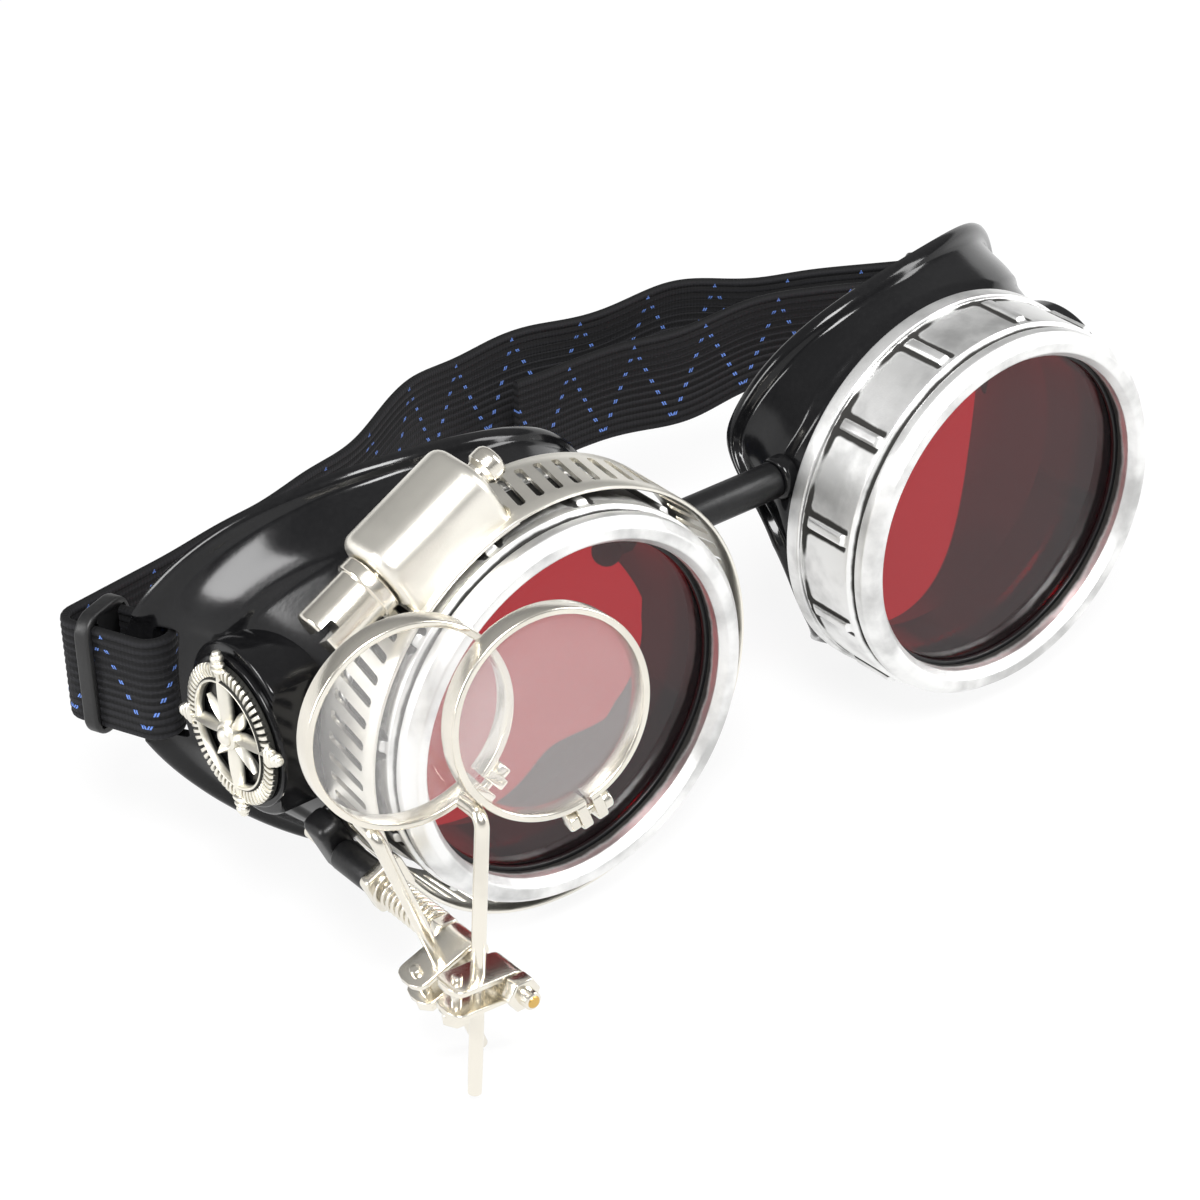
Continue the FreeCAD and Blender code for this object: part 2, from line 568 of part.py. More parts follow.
def clamp_housing():
    """Pressed saddle and the arched cover over the worm screw."""
    place = clamp_frame(size("housing_angle"), size("band_front + band_width / 2"))
    base_r = size("band_r + saddle_gap")
    cover = Part.makeBox(
        size("housing_long"), size("housing_wide"), size("housing_tall"),
        Vector(-size("housing_long / 2"), -size("housing_wide / 2"), base_r),
    )
    top = base_r + size("housing_tall")
    ridge = [
        edge for edge in cover.Edges
        if min(v.Z for v in edge.Vertexes) > top - 1e-6
        and abs(edge.Vertexes[0].X - edge.Vertexes[1].X) > 1
    ]
    cover = cover.makeFillet(size("housing_round"), ridge)
    ends = [
        edge for edge in cover.Edges
        if all(abs(abs(v.X) - size("housing_long / 2")) < 1e-6 for v in edge.Vertexes)
        and max(v.Z for v in edge.Vertexes) > base_r + 1
    ]
    cover = cover.makeFillet(size("housing_wall * 0.8"), ends)
    saddle_wide = size(SADDLE_WIDE)
    saddle_front = Vector(0, -saddle_wide / 2, 0)
    saddle_inner = Part.makeCylinder(base_r, saddle_wide, saddle_front, Y_AXIS)
    saddle_outer = Part.makeCylinder(base_r + size("saddle_thick"), saddle_wide, saddle_front, Y_AXIS)
    span = math.radians(size("saddle_span / 2"))
    rise = base_r + size("4 * saddle_thick")
    reach = rise * math.tan(span)
    wedge = Part.Face(Part.makePolygon([
        Vector(0, -saddle_wide, 0), Vector(-reach, -saddle_wide, rise), Vector(reach, -saddle_wide, rise),
        Vector(0, -saddle_wide, 0),
    ])).extrude(Vector(0, 2 * saddle_wide, 0))
    saddle = saddle_outer.cut(saddle_inner).common(wedge)
    axis_r = size("band_r + worm_gap + worm_r")
    bore_r = size("worm_r + worm_clear")
    bore_start = Vector(-size("housing_long"), 0, axis_r)
    bore = Part.makeCylinder(bore_r, size("2 * housing_long"), bore_start, X_AXIS)
    window = Part.makeBox(
        size("housing_long - 2 * housing_wall"), 2 * bore_r, size("worm_gap + worm_r"),
        Vector(-size("housing_long / 2 - housing_wall"), -bore_r, size("band_r")),
    )
    shell = cover.cut(saddle_inner).fuse(saddle).cut(bore).cut(window)
    node("clamp_housing", shaped("clamp_housing", shell, place))


def clamp_screw():
    """Worm screw: plain worm in the cover, round tail, collar and slotted head."""
    place = clamp_frame(size("housing_angle"), size("band_front + band_width / 2"))
    axis_r = size("band_r + worm_gap + worm_r")
    half = size("housing_long / 2")
    head_start = -half - size("stack_gap")

    def turned(radius, start, end):
        """Round stretch of the screw between two places along its axis."""
        return Part.makeCylinder(radius, end - start, Vector(start, 0, axis_r), X_AXIS)

    collar_end = head_start - size("screw_collar_long")
    head_end = collar_end - size("screw_head_long")
    worm = turned(size("worm_r"), head_start, half)
    tail = turned(size("worm_tail_r"), half, half + size("worm_tail"))
    collar = turned(size("screw_collar_r"), collar_end, head_start)
    head = turned(size("screw_head_r"), head_end, collar_end)
    driver = Part.makeBox(
        size("driver_depth"), size("3 * screw_head_r"), size("driver_slot"),
        Vector(head_end, -size("1.5 * screw_head_r"), axis_r - size("driver_slot / 2")),
    )
    screw = worm.fuse([tail, collar, head]).removeSplitter().cut(driver)
    node("clamp_screw", shaped("clamp_screw", screw, place))


def rod_point(depth):
    """Point on the loupe rod's axis at a depth behind the lens opening."""
    return cup_place(RIGHT, -depth) + Vector(-size("rod_x"), 0, -size("rod_z"))


def clip_angle():
    """Angle of the rod round the band, in degrees."""
    away = rod_point(0) - clamp_centre()
    return math.degrees(math.atan2(away.z, away.x))


def rod_radius():
    """Distance from the middle of the band to the rod's axis."""
    away = rod_point(0) - clamp_centre()
    return math.hypot(away.x, away.z)


def hexagon(flats, height):
    """Hexagonal prism on the local Z axis."""
    corner = flats / math.sqrt(3)
    points = [Vector(corner * math.cos(TURN * k / 6), corner * math.sin(TURN * k / 6), 0) for k in range(7)]
    return Part.Face(Part.makePolygon(points)).extrude(Vector(0, 0, height))


def stack_depths():
    """Depths, going forward, of the front jaw, spring, nuts and brackets along the rod."""
    jaw_back = size("band_front - jaw_gap")
    jaw_front = jaw_back - size("jaw_thick")
    seat = jaw_front - size("collar_long")
    spring_front = seat - size("spring_long + 2 * stack_gap")
    nut_front = spring_front - size("nut_thick")
    inner_middle = nut_front - size("stack_gap + bracket_wide / 2")
    outer_middle = inner_middle - size("bracket_spacing + bracket_wide")
    end_nut_back = outer_middle - size("stack_gap + bracket_wide / 2")
    return {
        "jaw_back": jaw_back, "jaw_front": jaw_front, "seat": seat, "spring_front": spring_front,
        "nut_front": nut_front, "inner": inner_middle, "outer": outer_middle, "end_nut_back": end_nut_back,
    }


def loupe_clip():
    """Rod with its rear hook, rubber pad and sleeve, and the sprung front jaw that grips the band."""
    depth = stack_depths()
    rod = add(
        "Part::Cylinder", "loupe_rod", along_y(rod_point(-size("rod_front"))),
        Radius="rod_r", Height="rod_front + rod_back",
    )
    node("loupe_rod", rod)
    place = clamp_frame(clip_angle(), 0)
    axis_r = rod_radius()

    def drilled(block, radius):
        """The block with the rod's hole through it."""
        length = size("rod_front + rod_back")
        return block.cut(Part.makeCylinder(radius, length, Vector(0, -size("rod_front"), axis_r), Y_AXIS))

    hook_back = size(PAD_BACK)
    pad = Part.makeBox(
        size("2 * pad_half"), hook_back - size("pad_front"), size("pad_out_r - pad_in_r"),
        Vector(-size("pad_half"), size("pad_front"), size("pad_in_r")),
    )
    pad = pad.makeFillet(size("pad_round"), pad.Edges)
    hook_front = hook_back - size("hook_thick")
    hook = Part.makeBox(
        size("2 * hook_half"), size("hook_thick"), size("pad_in_r - hook_tip_r + pad_round"),
        Vector(-size("hook_half"), hook_front, size("hook_tip_r")),
    )
    node("clip_pad", shaped("clip_pad", drilled(pad.fuse(hook), size("rod_r + solder_gap")), place))
    sleeve_front = size("band_front")
    sleeve_back = size("pad_front - stack_gap")
    sleeve_start = Vector(0, sleeve_front, axis_r)
    sleeve = Part.makeCylinder(size("sleeve_r"), sleeve_back - sleeve_front, sleeve_start, Y_AXIS)
    node("clip_sleeve", shaped("clip_sleeve", drilled(sleeve, size("rod_r + solder_gap")), place))
    jaw = Part.makeBox(
        size("2 * jaw_half"), size("jaw_thick"), size("jaw_top_r - jaw_tip_r"),
        Vector(-size("jaw_half"), depth["jaw_front"], size("jaw_tip_r")),
    )
    corners = [edge for edge in jaw.Edges if abs(edge.Vertexes[0].Y - edge.Vertexes[1].Y) > 1]
    jaw = jaw.makeFillet(size("jaw_half / 3"), corners)
    collar_start = Vector(0, depth["seat"], axis_r)
    collar = Part.makeCylinder(size("collar_r"), size("collar_long"), collar_start, Y_AXIS)
    jaw = drilled(jaw.fuse(collar), size("rod_r + running"))
    node("clip_jaw", shaped("clip_jaw", jaw, place))
    end_front = depth["end_nut_back"] - size("nut_thick")
    for label, front in (("spring_nut", depth["nut_front"]), ("rod_end_nut", end_front)):
        nut = hexagon(size("nut_flats"), size("nut_thick"))
        nut = nut.cut(Part.makeCylinder(size("rod_r + solder_gap"), size("nut_thick")))
        node(label, shaped(label, nut, along_y(rod_point(front))))


def helix_point(turn_angle, radius, start, pitch):
    """Point of the spring's helix, with its axis along Z."""
    along = start + pitch * turn_angle / TURN
    return Vector(radius * math.cos(turn_angle), radius * math.sin(turn_angle), along)


def clip_spring():
    """Compression spring: one unbroken wire along quarter-turn arcs."""
    depth = stack_depths()
    radius = size("spring_r")
    wire_r = size("wire_r")
    turns = int(size("spring_turns"))
    pitch = (size("spring_long") - 2 * wire_r) / turns
    quarters = 4 * turns
    edges = []
    for number in range(quarters):
        angles = [TURN * (number + part) / 4 for part in (0, 0.5, 1)]
        points = [helix_point(angle, radius, wire_r, pitch) for angle in angles]
        edges.append(Part.Arc(*points).toShape())
    path = Part.Wire(edges)
    start = path.Edges[0]
    tangent = start.tangentAt(start.FirstParameter)
    profile = Part.Wire(Part.makeCircle(wire_r, helix_point(0, radius, wire_r, pitch), tangent))
    coil = path.makePipeShell([profile], True, False)
    samples = path.discretize(Number=24 * turns)
    per_turn = 24
    nearest = min(
        samples[first].distanceToPoint(samples[second])
        for first in range(len(samples))
        for second in range(first + per_turn // 2, min(first + 3 * per_turn // 2, len(samples)))
    )
    print(f"spring gap to itself {nearest - 2 * wire_r:.2f} mm, volume share "
          f"{coil.Volume / (math.pi * wire_r ** 2 * path.Length):.3f}")
    front = depth["spring_front"] + size("stack_gap")
    node("clip_spring", shaped("clip_spring", coil, along_y(rod_point(front))))


def bracket_frame(which):
    """Frame of a swing bracket: local Y along the rod, local Z along its stem."""
    depth = stack_depths()[which]
    return Placement(rod_point(depth), Rotation(Y_AXIS, -size(f"{which}_tilt")))


def rim_frame():
    """Rim's frame in its bracket's frame, hung from the corner of the stem."""
    turn = Rotation(Z_AXIS, -size("loupe_yaw")).multiply(Rotation(X_AXIS, -size("loupe_lean")))
    attach = math.radians(size("attach_angle"))
    reach = size("loupe_r + stem_r + solder_gap")
    foot_front = Vector(reach * math.cos(attach), -size("foot_front"), reach * math.sin(attach))
    corner = Vector(-size("stem_offset"), 0, size("stem_corner"))
    return Placement(corner - turn.multVec(foot_front), turn)


def swing_bracket(which):
    """Strap rolled round the rod, its two leaves drawn together on the stem by a hex bolt."""
    place = bracket_frame(which)
    wide = size("bracket_wide")
    hole_r = size("rod_r + running")
    roll_r = hole_r + size("bracket_wall")
    reach = size("bracket_reach")
    roll = Part.makeCylinder(roll_r, wide, Vector(0, -wide / 2, 0), Y_AXIS)
    leaves = []
    for low in (hole_r, -roll_r):
        leaf = Part.makeBox(reach, wide, size("bracket_wall"), Vector(-reach, -wide / 2, low))
        ends = [
            edge for edge in leaf.Edges
            if all(v.X < -reach + 1e-6 for v in edge.Vertexes) and edge.Length < wide / 2
        ]
        leaves.append(leaf.makeFillet(wide * 0.3, ends))
    strap = roll.fuse(leaves)
    strap = strap.cut(Part.makeCylinder(hole_r, wide, Vector(0, -wide / 2, 0), Y_AXIS))
    tall = 4 * roll_r
    for hole, offset in (("stem_r + running", "stem_offset"), ("bolt_r + solder_gap", "bolt_offset")):
        strap = strap.cut(Part.makeCylinder(size(hole), tall, Vector(-size(offset), 0, -tall / 2)))
    node(f"{which}_bracket", shaped(f"{which}_bracket", strap.removeSplitter(), place))
    bolt_base = Vector(-size("bolt_offset"), 0, -roll_r - size("bolt_head + solder_gap"))
    head = hexagon(size("bolt_flats"), size("bolt_head"))
    shank = Part.makeCylinder(size("bolt_r"), 2 * roll_r + size("bolt_head + solder_gap"))
    bolt = head.fuse(shank).removeSplitter()
    bolt_place = place.multiply(Placement(bolt_base, Rotation()))
    node(f"{which}_bracket_bolt", shaped(f"{which}_bracket_bolt", bolt, bolt_place))


def loupe_stem(which):
    """Bent wire: straight through the bracket, then a foot soldered along the rim."""
    place = bracket_frame(which)
    rim = rim_frame()
    corner = Vector(-size("stem_offset"), 0, size("stem_corner"))
    bottom = Vector(-size("stem_offset"), 0, -size("stem_below"))
    foot = rim.Rotation.multVec(Y_AXIS)
    foot_end = corner + foot * size("foot_front + foot_back")
    up = Z_AXIS
    bend_r = size("stem_bend")
    turn = math.acos(max(-1.0, min(1.0, up.dot(foot))))
    trim = bend_r * math.tan(turn / 2)
    start = corner - up * trim
    end = corner + foot * trim
    inward = (foot - up * up.dot(foot)).normalize()
    centre = start + inward * bend_r
    middle = centre + (corner - centre).normalize() * bend_r
    path = Part.Wire([
        Part.LineSegment(bottom, start).toShape(), Part.Arc(start, middle, end).toShape(),
        Part.LineSegment(end, foot_end).toShape(),
    ])
    profile = Part.Wire(Part.makeCircle(size("stem_r"), bottom, up))
    wire = path.makePipeShell([profile], True, False)
    node(f"{which}_stem", shaped(f"{which}_stem", wire, place))


def loupe_rim(which):
    """Split ring with two ears, the ear screw and the biconvex magnifier."""
    place = bracket_frame(which).multiply(rim_frame())
    outer_r = size("loupe_r")
    inner_r = size("loupe_r - rim_wall")
    long = size("rim_long")
    back = Vector(0, -long / 2, 0)
    ring = Part.makeCylinder(outer_r, long, back, Y_AXIS).cut(Part.makeCylinder(inner_r, long, back, Y_AXIS))
    gap = size("split_gap")
    ear = size("ear_thick")
    tall = size("ear_tall + rim_wall / 2")
    root = size("loupe_r - rim_wall / 2")
    split = Part.makeBox(2 * tall, 2 * long, gap, Vector(inner_r - 1, -long, -gap / 2))
    ears = [Part.makeBox(tall, long, ear, Vector(root, -long / 2, low)) for low in (gap / 2, -gap / 2 - ear)]
    screw_x = outer_r + size("ear_tall * 0.55")
    hole = Part.makeCylinder(size("ear_screw_r + solder_gap"), 6 * ear, Vector(screw_x, 0, -3 * ear))
    band = ring.cut(split).fuse(ears).cut(hole)
    band.rotate(Vector(), Y_AXIS, -size("split_angle"))
    node(f"{which}_rim", shaped(f"{which}_rim", band, place))
    lift = gap / 2 + ear + size("solder_gap")
    head_long = size("ear_head_r")
    shank = Part.makeCylinder(size("ear_screw_r"), 2 * lift, Vector(screw_x, 0, -lift))
    head = Part.makeCylinder(size("ear_head_r"), head_long, Vector(screw_x, 0, lift))
    nut = hexagon(size("2 * ear_head_r"), head_long)
    nut.translate(Vector(screw_x, 0, -lift - head_long))
    screw = shank.fuse([head, nut]).removeSplitter()
    screw.rotate(Vector(), Y_AXIS, -size("split_angle"))
    node(f"{which}_rim_screw", shaped(f"{which}_rim_screw", screw, place))
    lens_r = inner_r - size("magnifier_gap")
    bulge = size("(magnifier_thick - magnifier_edge) / 2")
    ball_r = (lens_r ** 2 + bulge ** 2) / (2 * bulge)
    half = size("magnifier_thick / 2")
    front = Part.makeSphere(ball_r, Vector(0, ball_r - half, 0))
    rear = Part.makeSphere(ball_r, Vector(0, half - ball_r, 0))
    disc = Part.makeCylinder(lens_r, 2 * half, Vector(0, -half, 0), Y_AXIS)
    lens = disc.common(front).common(rear)
    node(f"{which}_magnifier", shaped(f"{which}_magnifier", lens, place))


def route(points, radii, shift):
    """Edges of a flat route moved sideways: straight runs joined by tangent arcs."""
    edges = []
    heading = (points[1] - points[0]).normalize()
    last = points[0] + Z_AXIS.cross(heading) * shift
    for before, corner, after, radius in zip(points, points[1:], points[2:], radii):
        into = (corner - before).normalize()
        out = (after - corner).normalize()
        half_turn = math.acos(max(-1.0, min(1.0, into.dot(out)))) / 2
        inward = (out - into).normalize()
        centre = corner + inward * (radius / math.cos(half_turn))
        leftward = Z_AXIS.cross(into).dot(inward) > 0
        scale = (radius - shift if leftward else radius + shift) / radius
        trim = radius * math.tan(half_turn)
        places = (corner - into * trim, centre - inward * radius, corner + out * trim)
        start, middle, end = (centre + (place - centre) * scale for place in places)
        if (start - last).dot(into) < 1e-3:
            raise RuntimeError(f"strap bend at {corner} leaves no straight run")
        edges.append(Part.LineSegment(last, start).toShape())
        edges.append(Part.Arc(start, middle, end).toShape())
        last = end
    heading = (points[-1] - points[-2]).normalize()
    edges.append(Part.LineSegment(last, points[-1] + Z_AXIS.cross(heading) * shift).toShape())
    return edges


def ribbon(points, radii, thick, wide):
    """Flat band standing on edge along a route."""
    sides = [route(points, radii, shift) for shift in (thick / 2, -thick / 2)]
    starts = [side[0].Vertexes[0].Point for side in sides]
    ends = [side[-1].Vertexes[-1].Point for side in sides]
    caps = [Part.LineSegment(*starts).toShape(), Part.LineSegment(*ends).toShape()]
    rim = Part.Wire(Part.__sortEdges__(sides[0] + sides[1] + caps))
    print(f"strap length {sum(edge.Length for edge in route(points, radii, 0)):.0f} mm")
    return Part.Face(rim).extrude(Vector(0, 0, wide))


STRAP_BACK = {"route": [(-42, 40.8), (2, 60)], "radii": [25, 40, 25]}
STRAP_TAIL = {"route": [(22, 52), (6, 51.5)], "radii": [20, 40]}


def beside(points, shift):
    """Corners of a flat line moved sideways, to the left of its heading where the shift is positive."""
    normals = [Z_AXIS.cross((after - before).normalize()) for before, after in zip(points, points[1:])]
    befores = [normals[0]] + normals
    afters = normals + [normals[-1]]
    return [
        point + (before + after) * (shift / (1 + before.dot(after)))
        for point, before, after in zip(points, befores, afters)
    ]


def strap_lead(side):
    """Unit vector along the doubled strap, from the cup's slot towards its slider."""
    lead = math.radians(size("strap_lead"))
    return Vector(-side * math.cos(lead), math.sin(lead), 0)


def strap_slot(side):
    """Middle of the strap's turn in the temple slot, in line with the middle of the bar behind it.

    The bar curves round the face, so it is measured part of the way out to the strap's edge.
    """
    bar_depth = size("slot_y + slot_width + cup_wall")
    start = cup_place(side, -bar_depth) + Z_AXIS * size("strap_wide / 3")
    cup = NODES[SIDE_NAMES[side] + "_eyecup"]
    hit = Part.makeLine(start, start + Vector(side * size("cup_spacing"), 0, 0)).common(cup.Shape)
    reach = [vertex.X for vertex in hit.Vertexes]
    bar = Vector((min(reach) + max(reach)) / 2, start.y, -size("axis_drop"))
    lead = strap_lead(side)
    turn_depth = size("slot_y + slot_width / 2 + strand_gap / 2")
    return bar - lead * ((bar_depth - turn_depth) / lead.y)


def strap_line(side):
    """Middle line of the doubled strap, from its turn in the slot to where its strands part."""
    lead = strap_lead(side)
    front = strap_slot(side) - lead * size("strand_gap / 2")
    if side == RIGHT:
        return [front, front + lead * size("right_run")]
    bend = front + lead * size("left_bend_run")
    heading = math.radians(size("left_heading"))
    return [front, bend, bend + Vector(math.cos(heading), math.sin(heading), 0) * size("left_tail_run")]


def strap():
    """One elastic strap: through the right slot, round the back, through the left slot, then a free tail."""
    half = size("strand_gap / 2")
    right_line = strap_line(RIGHT)
    left_line = strap_line(LEFT)
    right_outer = beside(right_line, half)
    right_inner = beside(right_line, -half)
    right_inner[-1] -= strap_lead(RIGHT) * size("right_end")
    left_outer = beside(left_line, -half)
    left_inner = beside(left_line, half)
    left_out = (left_outer[-1] - left_outer[-2]).normalize()
    left_outer[-1] += left_out * size("left_main_run - left_tail_run")
    points = right_inner[::-1] + right_outer + [Vector(x, y, 0) for x, y in STRAP_BACK["route"]]
    points += left_outer[::-1] + left_inner + [Vector(x, y, 0) for x, y in STRAP_TAIL["route"]]
    turn_in_slot = [half * 0.98] * 2
    left_bend = size("left_bend")
    radii = turn_in_slot + [size("strap_turn")] + STRAP_BACK["radii"]
    radii += [left_bend + 2 * half] + turn_in_slot + [left_bend] + STRAP_TAIL["radii"]
    low = -size("axis_drop + strap_wide / 2")
    level = [Vector(point.x, point.y, low) for point in points]
    band = ribbon(level, radii, size("strap_thick"), size("strap_wide"))
    node("strap", shaped("strap", band))


def slider(side):
    """Two-slot adjuster: the strap's strands run either side of its middle bar."""
    name = SIDE_NAMES[side] + "_slider"
    start, end = strap_line(side)[-2:]
    lead = (end - start).normalize()
    turn = Rotation(Y_AXIS, lead)
    centre = start + lead * size("slider_at + strand_gap / 2" if side == RIGHT else "left_slider_at")
    thick = "strand_gap + strap_thick + 2 * slider_clear + 2 * slider_wall"
    frame = box_at(f"{name}_frame", centre, turn, thick, "slider_long", "slider_tall")
    across = turn.multVec(X_AXIS)
    slots = []
    for number, sign in enumerate((1, -1)):
        middle = centre + across * sign * size("strand_gap / 2")
        slots.append(box_at(
            f"{name}_slot{number}", middle, turn, "strap_thick + 2 * slider_clear",
            "slider_long + 2", "strap_wide + 2 * slider_clear",
        ))
    return node(name, cut(name, frame, *slots))


def main():
    """Build every sub-part, test them and write one file each."""
    for side in (LEFT, RIGHT):
        lens_cap(side)
        lens_stack(side)
        eyecup(side)
        vent_cap(side)
        doc.recompute()
        slider(side)
    strap()
    charm()
    bridge()
    clamp_band()
    clamp_housing()
    clamp_screw()
    loupe_clip()
    clip_spring()
    for which in ("inner", "outer"):
        swing_bracket(which)
        loupe_stem(which)
        loupe_rim(which)
    doc.recompute()
    for item in doc.Objects:
        if "Invalid" in item.State or "Error" in item.State:
            raise RuntimeError(f"{item.Name} did not build: {item.State}")
    for label, item in NODES.items():
        if item.Shape.isNull() or not item.Shape.isValid():
            raise RuntimeError(f"{label} has no valid shape")
    os.makedirs("parts", exist_ok=True)
    for label, item in NODES.items():
        item.Shape.exportStep(f"parts/{label}.step")
        print(f"{label}: {len(item.Shape.Solids)} solid, {item.Shape.Volume:.1f} mm3")


main()
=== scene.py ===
"""Finished look of the round-lens goggles with a hose clamp and a swing-arm loupe.

Sizes are in millimetres in the part's own frame and become metres when a mesh is made.
+X runs along the nose bridge to the wearer's left, -Y is the way the lenses look, +Z is up.
"""
from __future__ import annotations

import logging
import math
from dataclasses import dataclass, field
from enum import Enum
from typing import Callable, Optional, Sequence, Union

import bmesh
import bpy
import numpy as np
from mathutils import Matrix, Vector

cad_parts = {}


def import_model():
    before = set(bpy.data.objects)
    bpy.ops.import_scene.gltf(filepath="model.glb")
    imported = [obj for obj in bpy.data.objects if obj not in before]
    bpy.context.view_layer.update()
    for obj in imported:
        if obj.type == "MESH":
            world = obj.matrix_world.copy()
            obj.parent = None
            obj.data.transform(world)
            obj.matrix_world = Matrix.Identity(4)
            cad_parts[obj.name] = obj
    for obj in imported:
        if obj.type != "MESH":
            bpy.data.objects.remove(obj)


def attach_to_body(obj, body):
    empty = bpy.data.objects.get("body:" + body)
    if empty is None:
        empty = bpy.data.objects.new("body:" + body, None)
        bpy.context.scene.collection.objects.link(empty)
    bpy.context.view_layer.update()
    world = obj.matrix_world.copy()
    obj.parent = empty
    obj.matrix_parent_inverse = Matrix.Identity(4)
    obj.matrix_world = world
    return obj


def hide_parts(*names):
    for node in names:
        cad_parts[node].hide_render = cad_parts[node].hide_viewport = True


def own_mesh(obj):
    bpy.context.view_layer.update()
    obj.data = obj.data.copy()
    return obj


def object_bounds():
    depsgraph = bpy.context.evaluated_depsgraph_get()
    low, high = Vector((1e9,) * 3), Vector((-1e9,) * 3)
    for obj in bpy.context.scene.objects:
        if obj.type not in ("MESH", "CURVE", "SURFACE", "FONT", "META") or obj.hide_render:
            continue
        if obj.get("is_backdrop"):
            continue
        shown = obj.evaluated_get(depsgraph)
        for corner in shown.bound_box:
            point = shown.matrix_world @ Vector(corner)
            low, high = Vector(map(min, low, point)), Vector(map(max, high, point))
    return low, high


LOG = logging.getLogger("goggles")
MM = 0.001
TURN = 2 * math.pi
Array = np.ndarray
Vec = Sequence[float]


class Side(Enum):
    """The wearer's two sides."""

    LEFT = 1
    RIGHT = -1

    @property
    def word(self) -> str:
        """Lower-case name, as the nodes carry it."""
        return self.name.lower()


class Arm(Enum):
    """The loupe's two swing arms: bracket depth in front of the lens opening, and tilt in degrees."""

    INNER = (-13.9, 19.5)
    OUTER = (-21.5, -4.8)

    @property
    def word(self) -> str:
        """Lower-case name, as the nodes carry it."""
        return self.name.lower()


def turn_about(axis: str, degrees: float) -> Array:
    """Rotation matrix about a main axis.

    Args:
        axis: One of "x", "y" and "z".
        degrees: Right-handed angle.

    Returns:
        A 3 by 3 matrix.
    """
    return np.array(Matrix.Rotation(math.radians(degrees), 3, axis.upper()))


@dataclass(frozen=True)
class Place:
    """A local frame: its origin, and its axes as the columns of a matrix."""

    origin: Array = field(default_factory=lambda: np.zeros(3))
    axes: Array = field(default_factory=lambda: np.eye(3))

    def at(self, points: Array) -> Array:
        """Points of the local frame in the part's frame."""
        return np.asarray(points) @ self.axes.T + self.origin

    def inside(self, origin: Vec, axes: Optional[Array] = None) -> "Place":
        """A further frame given in this one.

        Args:
            origin: Its origin here.
            axes: Its axes here, or none where they stay.

        Returns:
            The frame seen from the part.
        """
        inner = np.eye(3) if axes is None else np.asarray(axes)
        return Place(self.at(np.asarray(origin, float)), self.axes @ inner)


CYCLE = np.array([[0.0, 0.0, 1.0], [1.0, 0.0, 0.0], [0.0, 1.0, 0.0]])
LIE_ALONG_X = np.array([[0.0, 1.0, 0.0], [-1.0, 0.0, 0.0], [0.0, 0.0, 1.0]])
SWAP_YZ = np.array([[1.0, 0.0, 0.0], [0.0, 0.0, 1.0], [0.0, 1.0, 0.0]])
UPENDED = Place(axes=SWAP_YZ)
OPENING = np.array([37.0, -17.5, -8.0])
BOSS_PLACE = Place(np.array([0.0, 24.4, -0.2]), LIE_ALONG_X)


def cup_place(side: Side) -> Place:
    """The middle of a lens opening, with depth along +Y."""
    return Place(OPENING * (side.value, 1, 1))


@dataclass
class Surface:
    """Points and faces of one mesh, with optional map coordinates and patina per point, which holds painted
    shade too.
    """

    points: Array
    faces: list[list[int]]
    uv: Optional[Array] = None
    # Patina per point, and painted shade where a piece marks it.
    wear: Optional[Array] = None

    def placed(self, place: Place) -> "Surface":
        """The same surface carried into a frame."""
        return Surface(place.at(self.points), self.faces, self.uv, self.wear)

    def mirrored(self, sign: float) -> "Surface":
        """The same surface with its X times a sign."""
        return Surface(self.points * np.array([sign, 1, 1]), self.faces, self.uv, self.wear)


def weld(*parts: Surface) -> Surface:
    """Several surfaces as one mesh.

    Args:
        parts: The surfaces, in one frame.

    Returns:
        One surface with all their points and faces.
    """
    starts = np.cumsum([0] + [len(part.points) for part in parts]).tolist()
    faces = [[corner + start for corner in face] for part, start in zip(parts, starts) for face in part.faces]
    patina_and_shade_parts = [np.zeros(len(part.points)) if part.wear is None else part.wear for part in parts]
    return Surface(np.concatenate([part.points for part in parts]), faces, None, np.concatenate(patina_and_shade_parts))


def lattice(points: Array, wrap_rows: bool = False, lids: bool = False, uv: Optional[Array] = None,
            wear: Optional[Array] = None) -> Surface:
    """Quads between the rows of a grid whose columns close on themselves.

    Args:
        points: Rows by columns by 3.
        wrap_rows: Whether the last row joins the first.
        lids: Whether the first and last rows are closed with one face each.
        uv: Rows by columns by 2, or none.
        wear: Patina with painted shade, rows by columns, or none.

    Returns:
        The surface.
    """
    rows, cols = points.shape[:2]
    number = np.arange(rows * cols).reshape(rows, cols)
    ahead = np.roll(number, -1, axis=0) if wrap_rows else number[1:]
    base = number if wrap_rows else number[:-1]
    quads = np.stack([base, np.roll(base, -1, 1), np.roll(ahead, -1, 1), ahead], axis=-1).reshape(-1, 4)
    faces = quads.tolist()
    if lids:
        faces += [number[0][::-1].tolist(), number[-1].tolist()]
    return Surface(
        points.reshape(-1, 3), faces, None if uv is None else uv.reshape(-1, 2),
        None if wear is None else np.broadcast_to(wear, points.shape[:2]).reshape(-1),
    )


